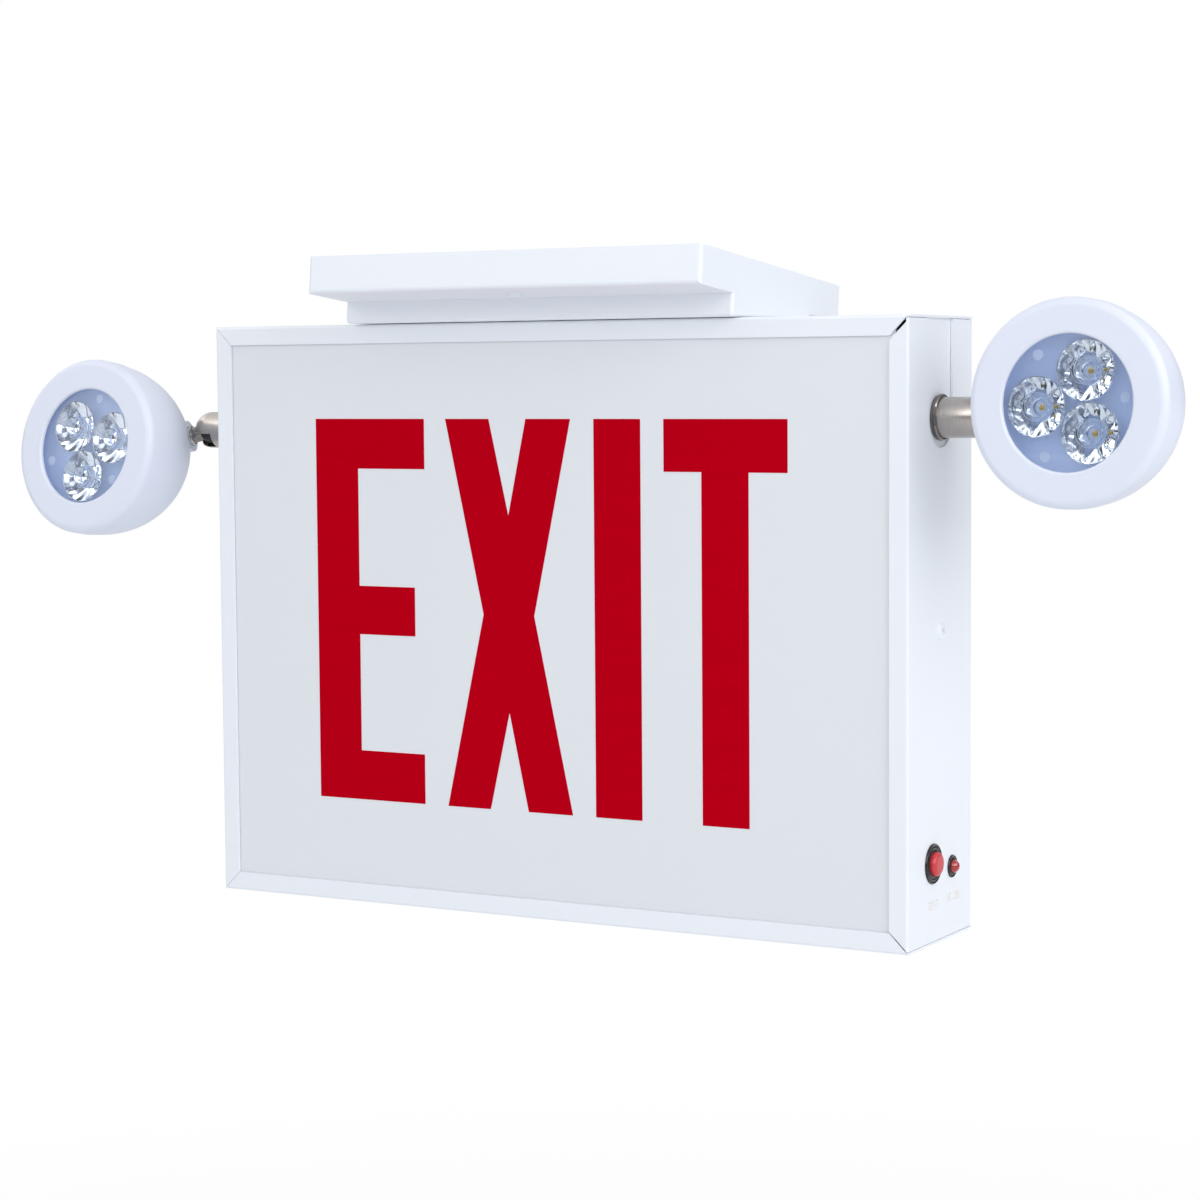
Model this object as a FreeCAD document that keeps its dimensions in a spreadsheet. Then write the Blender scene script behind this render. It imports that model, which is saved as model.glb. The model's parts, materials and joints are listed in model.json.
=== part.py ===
import FreeCAD, Part

"""Steel-housed exit sign with two adjustable emergency lamps, as a parametric document.

Millimetres.  Origin: centre of the housing's flat underside.  +Z up, +X to the reader's right,
-Y towards the reader.  Every size lives in the spreadsheet "Sizes"; features read it through
expressions, and the few Part features read the same cells through the Size class.
"""

import math
import os
import re

import Sketcher
from FreeCAD import Placement, Rotation, Vector

SIZES = [
    # housing
    ("house_w", 408.0, "housing width"),
    ("house_tall", 308.0, "housing height"),
    ("house_deep", 80.0, "housing depth"),
    ("steel", 1.2, "housing sheet thickness"),
    ("lip", 10.0, "front and rear lips of the folded housing"),
    ("bend_r", 1.5, "outer radius of the folded edges"),
    ("slit", 0.3, "width of the mitre slits in the folded corners"),
    ("mitre_gap", 1.0, "gap between the end cover's lower mitres and the frame's"),
    ("mitre_gap_top", 2.3, "gap between the end cover's upper mitres and the frame's"),
    ("seat", 0.3, "seating clearance between assembled pieces"),
    ("panel_t", 3.0, "legend panel thickness"),
    ("back_t", 1.0, "back panel thickness"),
    ("panel_clear", 6.0, "clearance round the legend and back panels"),
    # end cover and bracket
    ("recess", 0.2, "end bracket set behind the end cover"),
    ("bracket_gap", 2.5, "end bracket's edges from the legend panel"),
    ("bracket_foot", 14.0, "length of the end bracket's feet"),
    ("slot_clear", 2.4, "clearance of the cover's slot round the neck flange"),
    ("cover_screw_drop", 154.0, "end cover screw below the top"),
    ("cover_screw_r", 2.0, "end cover screw shank radius"),
    ("cover_head_r", 4.2, "end cover screw head radius"),
    ("cover_head_t", 1.6, "end cover screw head thickness"),
    # test button and indicator
    ("button_y", -9.5, "test button position in depth"),
    ("button_up", 40.2, "test button height above the underside"),
    ("button_r", 6.0, "test button cap radius"),
    ("button_proud", 4.0, "test button cap above the cover"),
    ("button_travel", 2.0, "test button travel"),
    ("button_fit", 0.1, "radial clearance of the test button in its ring"),
    ("ring_r", 10.0, "test button ring radius"),
    ("ring_proud", 1.0, "test button ring above the cover"),
    ("ring_wall", 1.5, "wall of the ring sleeves behind the cover"),
    ("led_y", 14.6, "indicator position in depth"),
    ("led_up", 35.5, "indicator height above the underside"),
    ("led_r", 3.3, "indicator lamp radius"),
    ("led_ring_r", 5.7, "indicator ring radius"),
    ("led_proud", 4.0, "indicator lamp above the cover"),
    ("board_back", 24.0, "control board behind the housing's right end"),
    ("board_t", 1.6, "circuit board thickness"),
    ("board_wide", 52.0, "control board width"),
    ("board_tall", 78.0, "control board height"),
    ("board_low", 12.0, "control board's lower edge above the underside"),
    ("switch_side", 12.0, "test switch body side"),
    ("switch_t", 7.0, "test switch body thickness"),
    ("standoff_r", 2.5, "board standoff radius"),
    ("standoff_edge", 4.0, "standoff centres from the board's edges"),
    ("thread_clear", 0.05, "clearance of the screws in their threads"),
    # battery and light strips
    ("cell_len", 120.0, "battery pack length"),
    ("battery_gap", 1.2, "battery strap's legs from the legend panel"),
    ("cell_count", 2, "battery cells side by side"),
    ("strap_w", 16.0, "battery strap width"),
    ("strap_t", 1.0, "battery strap thickness"),
    ("battery_x", -60.0, "battery centre from the housing's centre"),
    ("strip_len", 340.0, "legend light strip length"),
    ("strip_w", 10.0, "legend light strip width"),
    ("strip_t", 1.6, "legend light strip thickness"),
    ("strip_drop", 60.0, "upper light strip below the top"),
    ("strip_pitch", 110.0, "spacing of the light strips"),
    # canopy
    ("can_w", 228.0, "canopy width"),
    ("can_deep", 158.0, "canopy depth"),
    ("can_h", 19.2, "canopy wall height"),
    ("can_steel", 1.2, "canopy sheet thickness"),
    ("can_tilt", 5.95, "pitch of the canopy against the housing, degrees"),
    ("can_rise", 26.3, "canopy rim centre above the housing's top"),
    ("step_deep", 88.0, "depth of the canopy's foot step"),
    ("step_r", 2.0, "edge radius of the foot step"),
    ("can_r", 2.0, "edge radius of the canopy pan"),
    ("bar_w", 19.0, "canopy crossbar width"),
    ("bar_t", 1.6, "canopy crossbar thickness"),
    ("bar_len", 146.0, "canopy crossbar length"),
    ("bar_slot_pitch", 88.9, "spacing of the crossbar's box slots"),
    ("bar_slot_r", 2.4, "half width of the crossbar's box slots"),
    ("bar_slot_len", 14.0, "length of the crossbar's box slots"),
    ("can_screw_pitch", 124.0, "spacing of the canopy screws"),
    ("can_screw_r", 2.0, "canopy screw shank radius"),
    ("can_head_r", 4.0, "canopy screw head radius"),
    ("can_head_t", 2.2, "canopy screw head thickness"),
    ("nipple_r", 6.5, "nipple outer radius"),
    ("nipple_bore", 4.8, "nipple bore radius"),
    ("nipple_proud", 2.5, "nipple beyond its nuts"),
    ("nipple_nut_af", 19.0, "nipple nut across flats"),
    ("nipple_nut_t", 3.5, "nipple nut thickness"),
    # necks
    ("neck_drop_left", 56.5, "left neck axis below the top"),
    ("neck_drop_right", 49.5, "right neck axis below the top"),
    ("tube_r", 10.0, "neck tube outer radius"),
    ("tube_bore", 7.8, "neck tube bore radius"),
    ("neck_reach", 32.6, "dome centre beyond the housing's side"),
    ("neck_inside", 10.0, "neck tube length inside the housing"),
    ("tube_fit", 0.06, "running clearance of the neck tube in its flange"),
    ("flange_r", 12.4, "neck flange radius"),
    ("flange_proud", 1.6, "neck flange above the housing's side"),
    ("neck_nut_af", 28.0, "neck lock nut across flats"),
    ("neck_nut_t", 4.0, "neck lock nut thickness"),
    ("ball_fit", 0.06, "running clearance of the ball in the dome"),
    ("stem_r", 4.5, "swivel post radius"),
    ("stem_bore", 2.4, "wire bore of the swivel post"),
    ("stem_slack", 0.3, "clearance of the swivel post in the dome's slot"),
    ("slot_over", 2.0, "slot cutter beyond the dome"),
    ("stem_end", 3.0, "swivel post beyond the lamp's inner boss"),
    ("collar_r", 8.8, "seat collar radius"),
    ("collar_t", 2.0, "seat collar thickness"),
    ("post_nut_r", 5.3, "post nut radius"),
    ("post_nut_t", 4.0, "post nut thickness"),
    ("seat_reach", 16.0, "lamp seat from the dome centre"),
    # lamps
    ("lamp_r", 48.8, "lamp outer radius"),
    ("bezel_deep", 12.2, "bezel depth"),
    ("bowl_flat", 2.0, "straight rim of the bowl"),
    ("bowl_deep", 52.0, "domed depth of the bowl"),
    ("lamp_wall", 2.5, "lamp wall thickness"),
    ("boss_wall", 3.4, "extra depth of the inner boss under the lamp seat"),
    ("lens_open", 31.9, "radius of the bezel's opening"),
    ("lens_over", 2.6, "lens edge hidden behind the bezel"),
    ("lens_set", 2.4, "lens face behind the bezel's front"),
    ("lens_t", 1.2, "lens thickness"),
    ("bezel_front_r", 4.0, "outer rounding of the bezel"),
    ("bezel_inner_r", 1.2, "inner rounding of the bezel"),
    ("optic_pcr", 16.8, "optics' centres from the lamp axis"),
    ("optic_r", 14.4, "optic front radius"),
    ("optic_foot", 6.0, "optic foot radius"),
    ("optic_h", 9.0, "optic height"),
    ("optic_well", 4.4, "radius of the optic's well"),
    ("chip", 3.4, "side of a light chip"),
    ("chip_t", 0.8, "light chip thickness"),
    ("pad_pcr", 27.3, "frosted pads' centres from the lamp axis"),
    ("pad_r", 2.6, "frosted pad radius"),
    ("plate_t", 1.6, "light plate thickness"),
    ("bowl_inset", 0.6, "bowl radius below the bezel's"),
    ("pivot_side", 52.5, "dome centre beside the lamp axis"),
    ("pivot_back", 50.6, "dome centre behind the bezel's front"),
    ("stem_turn", 17.0, "swivel post's angle to the lamp's face, degrees"),
    ("left_yaw", -3.1, "left lamp turned to the right, degrees"),
    ("left_pitch", 9.0, "left lamp tipped up, degrees"),
    ("left_roll", 17.7, "left lamp's post above its axis, degrees"),
    ("right_yaw", -1.8, "right lamp turned to the right, degrees"),
    ("right_pitch", 2.8, "right lamp tipped up, degrees"),
    ("right_roll", -5.4, "right lamp's post above its axis, degrees"),
]

# sizes that follow from the ones above
DERIVED = {
    "bracket_deep": "(house_deep - 2 * (steel + seat + panel_t + bracket_gap))",
    "cell_r": "((house_deep / 2 - steel - 2 * seat - panel_t - strap_t - battery_gap) / cell_count)",
}


class Size:
    """The spreadsheet's values as plain numbers, one attribute for each alias."""

    def __init__(self, rows):
        for alias, number, _note in rows:
            setattr(self, alias, number)


doc = FreeCAD.newDocument("ExitLight")
sheet = doc.addObject("Spreadsheet::Sheet", "Sizes")
for row, (alias, number, note) in enumerate(SIZES, start=1):
    sheet.set(f"A{row}", alias)
    sheet.set(f"B{row}", str(number))
    sheet.setAlias(f"B{row}", alias)
    sheet.set(f"C{row}", note)
doc.recompute()

s = Size(SIZES)
ALIASES = {alias for alias, _number, _note in SIZES}
X, Y, Z = Vector(1, 0, 0), Vector(0, 1, 0), Vector(0, 0, 1)
NODES = []


def cells(expression):
    """Writes derived sizes out and points every alias in an expression at its cell in the sheet."""
    written = re.sub(r"\b[a-z][a-z_]*\b", lambda m: DERIVED.get(m.group(), m.group()), str(expression))
    return re.sub(r"\b[a-z][a-z_]*\b",
                  lambda m: f"Sizes.{m.group()}" if m.group() in ALIASES else m.group(), written)


def value(expression):
    """The number that an expression gives with the present sizes."""
    return float(sheet.evalExpression(cells(expression)))


for name, expression in DERIVED.items():
    setattr(s, name, value(expression))


def bind(obj, **properties):
    """Ties properties to expressions; a double underscore stands for a dot."""
    for name, expression in properties.items():
        obj.setExpression(name.replace("__", "."), cells(expression))
    return obj


def keep(obj, label, placement=None):
    """Names a finished sub-part, places it and adds it to the list of nodes."""
    obj.Label = label
    if placement is not None:
        obj.Placement = placement
    NODES.append(obj)
    return obj


# ---------------------------------------------------------------- sketches and features

def new_body(name):
    return doc.addObject("PartDesign::Body", name)


def new_sketch(body, role, name, offset=None):
    """A sketch on one of the body's own origin planes, raised by an offset."""
    plane = next(f for f in body.Origin.OriginFeatures if f.Role == role)
    sketch = body.newObject("Sketcher::SketchObject", name)
    sketch.AttachmentSupport = [(plane, "")]
    sketch.MapMode = "FlatFace"
    if offset is not None:
        bind(sketch, AttachmentOffset__Base__z=offset)
    return sketch


def pin_point(sketch, geo, pos, x, y):
    """Fixes a point at two expressions."""
    for kind, axis, expression in (("DistanceX", -2, x), ("DistanceY", -1, y)):
        number = value(expression)
        if abs(number) < 1e-9:
            sketch.addConstraint(Sketcher.Constraint("PointOnObject", geo, pos, axis))
        else:
            index = sketch.addConstraint(Sketcher.Constraint(kind, -1, 1, geo, pos, number))
            sketch.setExpression(f"Constraints[{index}]", cells(expression))


def polygon(sketch, points):
    """A closed outline whose corners are pairs of expressions."""
    numbers = [Vector(value(x), value(y), 0) for x, y in points]
    first = sketch.GeometryCount
    count = len(points)
    for i in range(count):
        sketch.addGeometry(Part.LineSegment(numbers[i], numbers[(i + 1) % count]), False)
    for i in range(count):
        sketch.addConstraint(Sketcher.Constraint("Coincident", first + i, 2, first + (i + 1) % count, 1))
    for i, (x, y) in enumerate(points):
        pin_point(sketch, first + i, 1, x, y)
    return sketch


def rectangle(sketch, x0, x1, y0, y1):
    return polygon(sketch, [(x0, y0), (x1, y0), (x1, y1), (x0, y1)])


def circle(sketch, x, y, radius):
    index = sketch.addGeometry(Part.Circle(Vector(value(x), value(y), 0), Z, value(radius)), False)
    pin_point(sketch, index, 3, x, y)
    number = sketch.addConstraint(Sketcher.Constraint("Radius", index, value(radius)))
    sketch.setExpression(f"Constraints[{number}]", cells(radius))
    return sketch


def pad(body, sketch, length, name, middle=False, reverse=False):
    feature = body.newObject("PartDesign::Pad", name)
    feature.Profile = sketch
    feature.Midplane = middle
    feature.Reversed = reverse
    return bind(feature, Length=length)


def pocket(body, sketch, name, length=None, middle=False, reverse=False):
    """Cuts a sketch out of the body, through all of it where no length is given."""
    feature = body.newObject("PartDesign::Pocket", name)
    feature.Profile = sketch
    feature.Midplane = middle
    feature.Reversed = reverse
    if length is None:
        feature.Type = "ThroughAll"
        return feature
    return bind(feature, Length=length)


def revolve(body, sketch, name, axis="V_Axis"):
    feature = body.newObject("PartDesign::Revolution", name)
    feature.Profile = sketch
    feature.ReferenceAxis = (sketch, [axis])
    feature.Angle = 360
    return feature


def fillet(body, base, name, radius, wanted):
    """Rounds the edges of a feature that the test picks."""
    doc.recompute()
    names = [f"Edge{i}" for i, edge in enumerate(base.Shape.Edges, start=1)
             if not edge.Degenerated and wanted(edge)]
    feature = body.newObject("PartDesign::Fillet", name)
    feature.Base = (base, names)
    return bind(feature, Radius=radius)


def along(edge, axis):
    """True for a straight edge that runs along an axis."""
    return isinstance(edge.Curve, Part.Line) and abs(edge.Curve.Direction.dot(axis)) > 0.999


def near(a, b):
    return abs(a - b) < 1e-3


# ---------------------------------------------------------------- Part primitives

def cylinder(name, radius, height, at=Vector(), axis=Z):
    solid = doc.addObject("Part::Cylinder", name)
    bind(solid, Radius=radius, Height=height)
    solid.Placement = Placement(at, Rotation(Z, axis))
    return solid


def box(name, length, width, height, at=Vector(), turn=Rotation()):
    """A box centred on its own axes at the given point."""
    solid = doc.addObject("Part::Box", name)
    bind(solid, Length=length, Width=width, Height=height)
    half = Vector(value(length), value(width), value(height)) * 0.5
    solid.Placement = Placement(at - turn.multVec(half), turn)
    return solid


def hexagon(name, across_flats, height, at, axis):
    solid = doc.addObject("Part::Prism", name)
    solid.Polygon = 6
    bind(solid, Circumradius=f"({across_flats}) / sqrt(3)", Height=height)
    solid.Placement = Placement(at, Rotation(Z, axis))
    return solid


def join(name, *solids):
    fused = doc.addObject("Part::MultiFuse", name)
    fused.Shapes = list(solids)
    return fused


def cut(name, base, *tools):
    result = doc.addObject("Part::Cut", name)
    result.Base = base
    result.Tool = tools[0] if len(tools) == 1 else join(name + "Tools", *tools)
    return result


def group(name, *solids):
    """Several like solids in one node."""
    compound = doc.addObject("Part::Compound", name)
    compound.Links = list(solids)
    return compound


# ---------------------------------------------------------------- folded housing

def housing_frame():
    """One folded channel: top, left side and underside, with front and rear lips."""
    body = new_body("HousingFrame")
    outline = new_sketch(body, "XZ_Plane", "FrameOutline")
    rectangle(outline, "-house_w / 2", "house_w / 2", "0", "house_tall")
    block = pad(body, outline, "house_deep", "FrameBlock", middle=True)

    half_w, half_d = s.house_w / 2, s.house_deep / 2

    def folded(edge):
        box_ = edge.BoundBox
        on_face = near(abs(box_.YMin), half_d) and near(box_.YMin, box_.YMax)
        return on_face and not near(box_.XMin, half_w)

    fillet(body, block, "FrameBends", "bend_r", folded)

    window = new_sketch(body, "XZ_Plane", "FrameWindow")
    rectangle(window, "lip - house_w / 2", "house_w / 2 + 1", "lip", "house_tall - lip")
    pocket(body, window, "FrameWindowCut", middle=True)

    cavity = new_sketch(body, "YZ_Plane", "FrameCavity", "house_w / 2")
    rectangle(cavity, "steel - house_deep / 2", "house_deep / 2 - steel", "steel", "house_tall - steel")
    pocket(body, cavity, "FrameCavityCut", "house_w - steel")

    mitre = new_sketch(body, "XZ_Plane", "FrameMitres")
    polygon(mitre, [("house_w / 2 - lip", "house_tall - lip"), ("house_w / 2 + 1", "house_tall - lip"),
                    ("house_w / 2 + 1", "house_tall - steel"), ("house_w / 2 - steel", "house_tall - steel")])
    polygon(mitre, [("house_w / 2 - lip", "lip"), ("house_w / 2 - steel", "steel"),
                    ("house_w / 2 + 1", "steel"), ("house_w / 2 + 1", "lip")])
    pocket(body, mitre, "FrameMitreCut", middle=True)

    slits = new_sketch(body, "XZ_Plane", "FrameSlits")
    left, inner = "steel - house_w / 2", "lip - house_w / 2"
    for low, high in (("steel", "lip"), ("house_tall - steel", "house_tall - lip")):
        polygon(slits, [(f"{left}", f"{low}"), (f"{left} + slit", f"{low}"),
                        (f"{inner} + slit", f"{high}"), (f"{inner}", f"{high}")])
    pocket(body, slits, "FrameSlitCut", middle=True)

    neck = new_sketch(body, "YZ_Plane", "FrameNeckHole", "-house_w / 2 + 5 * steel")
    circle(neck, "0", "house_tall - neck_drop_left", "tube_r + seat")
    pocket(body, neck, "FrameNeckCut", "10 * steel")

    top = new_sketch(body, "XY_Plane", "FrameNippleHole", "house_tall + steel")
    circle(top, "0", "0", "nipple_r + seat")
    body.Tip = pocket(body, top, "FrameNippleCut", "4 * steel")
    return keep(body, "housing_frame")


def end_cover():
    """The removable right end: a channel with mitred lips and an open slot round the neck."""
    body = new_body("EndCover")
    section = new_sketch(body, "XY_Plane", "CoverSection", "steel + seat")
    polygon(section, [("house_w / 2 - lip", "-house_deep / 2"), ("house_w / 2", "-house_deep / 2"),
                      ("house_w / 2", "house_deep / 2"), ("house_w / 2 - lip", "house_deep / 2"),
                      ("house_w / 2 - lip", "house_deep / 2 - steel"),
                      ("house_w / 2 - steel", "house_deep / 2 - steel"),
                      ("house_w / 2 - steel", "steel - house_deep / 2"),
                      ("house_w / 2 - lip", "steel - house_deep / 2")])
    block = pad(body, section, "house_tall - 2 * (steel + seat)", "CoverBlock")
    half_w, half_d = s.house_w / 2, s.house_deep / 2
    fillet(body, block, "CoverBends", "bend_r",
           lambda e: along(e, Z) and near(e.BoundBox.XMin, half_w) and near(abs(e.BoundBox.YMin), half_d))

    mitres = new_sketch(body, "XZ_Plane", "CoverMitres")
    inner, outer = "house_w / 2 - lip", "house_w / 2 - steel"
    polygon(mitres, [(f"{inner} - 1", "0"), (f"{outer}", "0"), (f"{outer}", "steel + mitre_gap"),
                     (f"{inner}", "lip + mitre_gap"), (f"{inner} - 1", "lip + mitre_gap")])
    polygon(mitres, [(f"{inner} - 1", "house_tall"), (f"{inner} - 1", "house_tall - lip - mitre_gap_top"),
                     (f"{inner}", "house_tall - lip - mitre_gap_top"),
                     (f"{outer}", "house_tall - steel - mitre_gap_top"), (f"{outer}", "house_tall")])
    pocket(body, mitres, "CoverMitreCut", middle=True)

    slot = new_sketch(body, "YZ_Plane", "CoverSlot", "house_w / 2 + 1")
    rectangle(slot, "-flange_r - slot_clear", "flange_r + slot_clear",
              "house_tall - neck_drop_right", "house_tall + 1")
    pocket(body, slot, "CoverSlotCut", "2 * steel + 1")
    end = new_sketch(body, "YZ_Plane", "CoverSlotEnd", "house_w / 2 + 1")
    circle(end, "0", "house_tall - neck_drop_right", "flange_r + slot_clear")
    pocket(body, end, "CoverSlotEndCut", "2 * steel + 1")

    holes = new_sketch(body, "YZ_Plane", "CoverHoles", "house_w / 2 + 1")
    circle(holes, "0", "house_tall - cover_screw_drop", "cover_screw_r + seat")
    circle(holes, "button_y", "button_up", "button_r + button_fit + ring_wall + seat")
    circle(holes, "led_y", "led_up", "led_ring_r - ring_wall + seat")
    body.Tip = pocket(body, holes, "CoverHoleCut", "2 * steel + 1")
    return keep(body, "end_cover")


def end_bracket():
    """The strip behind the end cover that carries the right neck, with a foot at each end."""
    body = new_body("EndBracket")
    face = "house_w / 2 - steel - recess"
    section = new_sketch(body, "XZ_Plane", "BracketSection")
    polygon(section, [(f"{face}", "steel"), (f"{face}", "house_tall - steel"),
                      (f"{face} - bracket_foot", "house_tall - steel"),
                      (f"{face} - bracket_foot", "house_tall - 2 * steel"),
                      (f"{face} - steel", "house_tall - 2 * steel"), (f"{face} - steel", "2 * steel"),
                      (f"{face} - bracket_foot", "2 * steel"), (f"{face} - bracket_foot", "steel")])
    pad(body, section, "bracket_deep", "BracketStrip", middle=True)
    holes = new_sketch(body, "YZ_Plane", "BracketHoles", f"{face} + 1")
    circle(holes, "0", "house_tall - neck_drop_right", "tube_r + seat")
    circle(holes, "0", "house_tall - cover_screw_drop", "cover_screw_r")
    circle(holes, "button_y", "button_up", "button_r + button_fit + ring_wall + seat")
    circle(holes, "led_y", "led_up", "led_ring_r - ring_wall + seat")
    body.Tip = pocket(body, holes, "BracketHoleCut", "steel + 2")
    return keep(body, "end_bracket")


def panel(name, label, thickness, front):
    """A flat panel that slides in behind the lips; front is its front face's Y."""
    body = new_body(name)
    outline = new_sketch(body, "XZ_Plane", name + "Outline", f"-({front})")
    rectangle(outline, "steel + panel_clear - house_w / 2",
              "house_w / 2 - steel - panel_clear",
              "steel + panel_clear", "house_tall - steel - panel_clear")
    body.Tip = pad(body, outline, thickness, name + "Sheet", reverse=True)
    return keep(body, label)


# ---------------------------------------------------------------- end fittings

def cover_screw():
    at = Vector(s.house_w / 2, 0, s.house_tall - s.cover_screw_drop)
    head = cylinder("CoverScrewHead", "cover_head_r", "cover_head_t", at, X)
    shank = cylinder("CoverScrewShank", "cover_screw_r", "2 * steel + recess + 3", at, -X)
    return keep(join("CoverScrew", head, shank), "end_cover_screw")


def turned(name, label, points, placement, rounded=None):
    """A revolved piece about local Z; points are radius and height pairs."""
    body = new_body(name)
    profile = new_sketch(body, "XZ_Plane", name + "Profile")
    polygon(profile, points)
    form = revolve(body, profile, name + "Form")
    body.Tip = form
    if rounded:
        radius, wanted = rounded
        body.Tip = fillet(body, form, name + "Edge", radius, wanted)
    return keep(body, label, placement)


def rim_at(radius, height):
    """Picks the round edge of a given radius and height."""
    def wanted(edge):
        return (isinstance(edge.Curve, Part.Circle) and near(edge.Curve.Radius, radius)
                and near(edge.BoundBox.ZMin, height) and near(edge.BoundBox.ZMax, height))
    return wanted


def facing(at, outward, side=None):
    """A placement whose local Z points outward and whose local X points to the side."""
    z = Vector(outward).normalize()
    side = side or (Z if abs(z.dot(Z)) < 0.9 else X)
    x = (side - z * side.dot(z)).normalize()
    y = z.cross(x)
    matrix = FreeCAD.Matrix(x.x, y.x, z.x, at.x, x.y, y.y, z.y, at.y, x.z, y.z, z.z, at.z, 0, 0, 0, 1)
    return Placement(matrix)


def test_button():
    """Cap, ring, indicator and the board behind them; local Z runs out of the housing's end."""
    face = s.house_w / 2
    button = facing(Vector(face, s.button_y, s.button_up), X)
    back = "steel + recess + steel + 0.5"
    bore = "button_r + button_fit"
    turned("ButtonRing", "test_button_ring",
           [(bore, f"-({back})"), (f"{bore} + ring_wall", f"-({back})"), (f"{bore} + ring_wall", "0"),
            ("ring_r", "0"), ("ring_r", "ring_proud"), (bore, "ring_proud")], button,
           ("ring_proud / 2", rim_at(s.ring_r, s.ring_proud)))
    stop = f"-({back}) - seat"
    foot = "-board_back + board_t + switch_t + button_travel + seat"
    turned("ButtonCap", "test_button",
           [("0", foot), ("button_r / 2", foot), ("button_r / 2", f"{stop} - steel"),
            (f"{bore} + ring_wall / 2", f"{stop} - steel"), (f"{bore} + ring_wall / 2", stop),
            ("button_r", stop), ("button_r", "button_proud"), ("0", "button_proud")], button,
           ("button_r / 3", rim_at(s.button_r, s.button_proud)))
    lamp = facing(Vector(face, s.led_y, s.led_up), X)
    turned("IndicatorRing", "indicator_ring",
           [("led_r + seat / 2", f"-({back})"), ("led_ring_r - ring_wall", f"-({back})"),
            ("led_ring_r - ring_wall", "0"), ("led_ring_r", "0"), ("led_ring_r", "ring_proud * 0.8"),
            ("led_r + seat / 2", "ring_proud * 0.8")], lamp)
    turn = Rotation(Z, X)
    base = Vector(face, s.led_y, s.led_up)
    reach = s.led_proud - s.led_r
    case = cylinder("LampCase", "led_r", "led_proud - led_r + steel * 3", base - X * s.steel * 3, X)
    dome = doc.addObject("Part::Sphere", "LampDome")
    bind(dome, Radius="led_r")
    dome.Placement = Placement(base + X * reach, turn)
    legs = [cylinder(f"LampLeg{i}", "led_r / 6", "board_back - board_t - steel * 3",
                     base + Vector(-s.steel * 3, side * s.led_r / 2, 0), -X)
            for i, side in enumerate((-1, 1))]
    keep(join("IndicatorLamp", case, dome, *legs), "indicator_lamp")

    board_x = face - s.board_back
    middle = Vector(board_x + s.board_t / 2, 0, s.board_low + s.board_tall / 2)
    plate = box("Board", "board_t", "board_wide", "board_tall", middle)
    dy, dz = s.board_wide / 2 - s.standoff_edge, s.board_tall / 2 - s.standoff_edge
    standoffs = [cylinder(f"Standoff{i}", "standoff_r", "board_back - board_t - 2 * steel - recess",
                          middle + Vector(s.board_t / 2, sy * dy, sz * dz), X)
                 for i, (sy, sz) in enumerate(((-1, -1), (1, -1), (-1, 1), (1, 1)))]
    keep(join("ControlBoard", plate, *standoffs), "control_board")
    keep(box("TestSwitch", "switch_t", "switch_side", "switch_side",
             Vector(board_x + s.board_t + s.switch_t / 2, s.button_y, s.button_up)), "test_switch")


def battery():
    """Round cells side by side in one sleeve, under a strap whose legs stand on the underside."""
    floor = s.steel + s.seat
    cells_ = []
    for i in range(int(s.cell_count)):
        y = (i - (s.cell_count - 1) / 2) * 2 * s.cell_r
        cells_.append(cylinder(f"Cell{i}", "cell_r", "cell_len",
                               Vector(s.battery_x - s.cell_len / 2, y, floor + s.cell_r), X))
    sleeve = box("Sleeve", "cell_len", "2 * cell_r * (cell_count - 1)", "2 * cell_r",
                 Vector(s.battery_x, 0, floor + s.cell_r))
    keep(join("BatteryPack", sleeve, *cells_), "battery_pack")

    body = new_body("BatteryStrap")
    half, high = "cell_r * cell_count + seat", "steel + 2 * cell_r + 2 * seat"
    section = new_sketch(body, "YZ_Plane", "StrapSection")
    polygon(section, [(f"-({half}) - strap_t", "steel"), (f"-({half}) - strap_t", f"{high} + strap_t"),
                      (f"{half} + strap_t", f"{high} + strap_t"), (f"{half} + strap_t", "steel"),
                      (half, "steel"), (half, high), (f"-({half})", high), (f"-({half})", "steel")])
    body.Tip = pad(body, section, "strap_w", "StrapPad", middle=True)
    keep(body, "battery_strap", Placement(Vector(s.battery_x, 0, 0), Rotation()))


def light_strips():
    """Two light boards on the back panel that light the legend."""
    back = s.house_deep / 2 - s.steel - s.seat - s.back_t
    strips = [box(f"Strip{i}", "strip_len", "strip_t", "strip_w",
                  Vector(0, back - s.strip_t / 2, s.house_tall - s.strip_drop - i * s.strip_pitch))
              for i in range(2)]
    keep(group("LightStrips", *strips), "legend_light_strips")


# ---------------------------------------------------------------- canopy

def canopy_place():
    return Placement(Vector(0, 0, s.house_tall + s.can_rise), Rotation(X, -s.can_tilt))


def foot_height(y, lift):
    """Height in the pitched canopy of a level plane that lies above the housing's top."""
    return f"(({lift}) - can_rise + ({y}) * sin(can_tilt)) / cos(can_tilt)"


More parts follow.
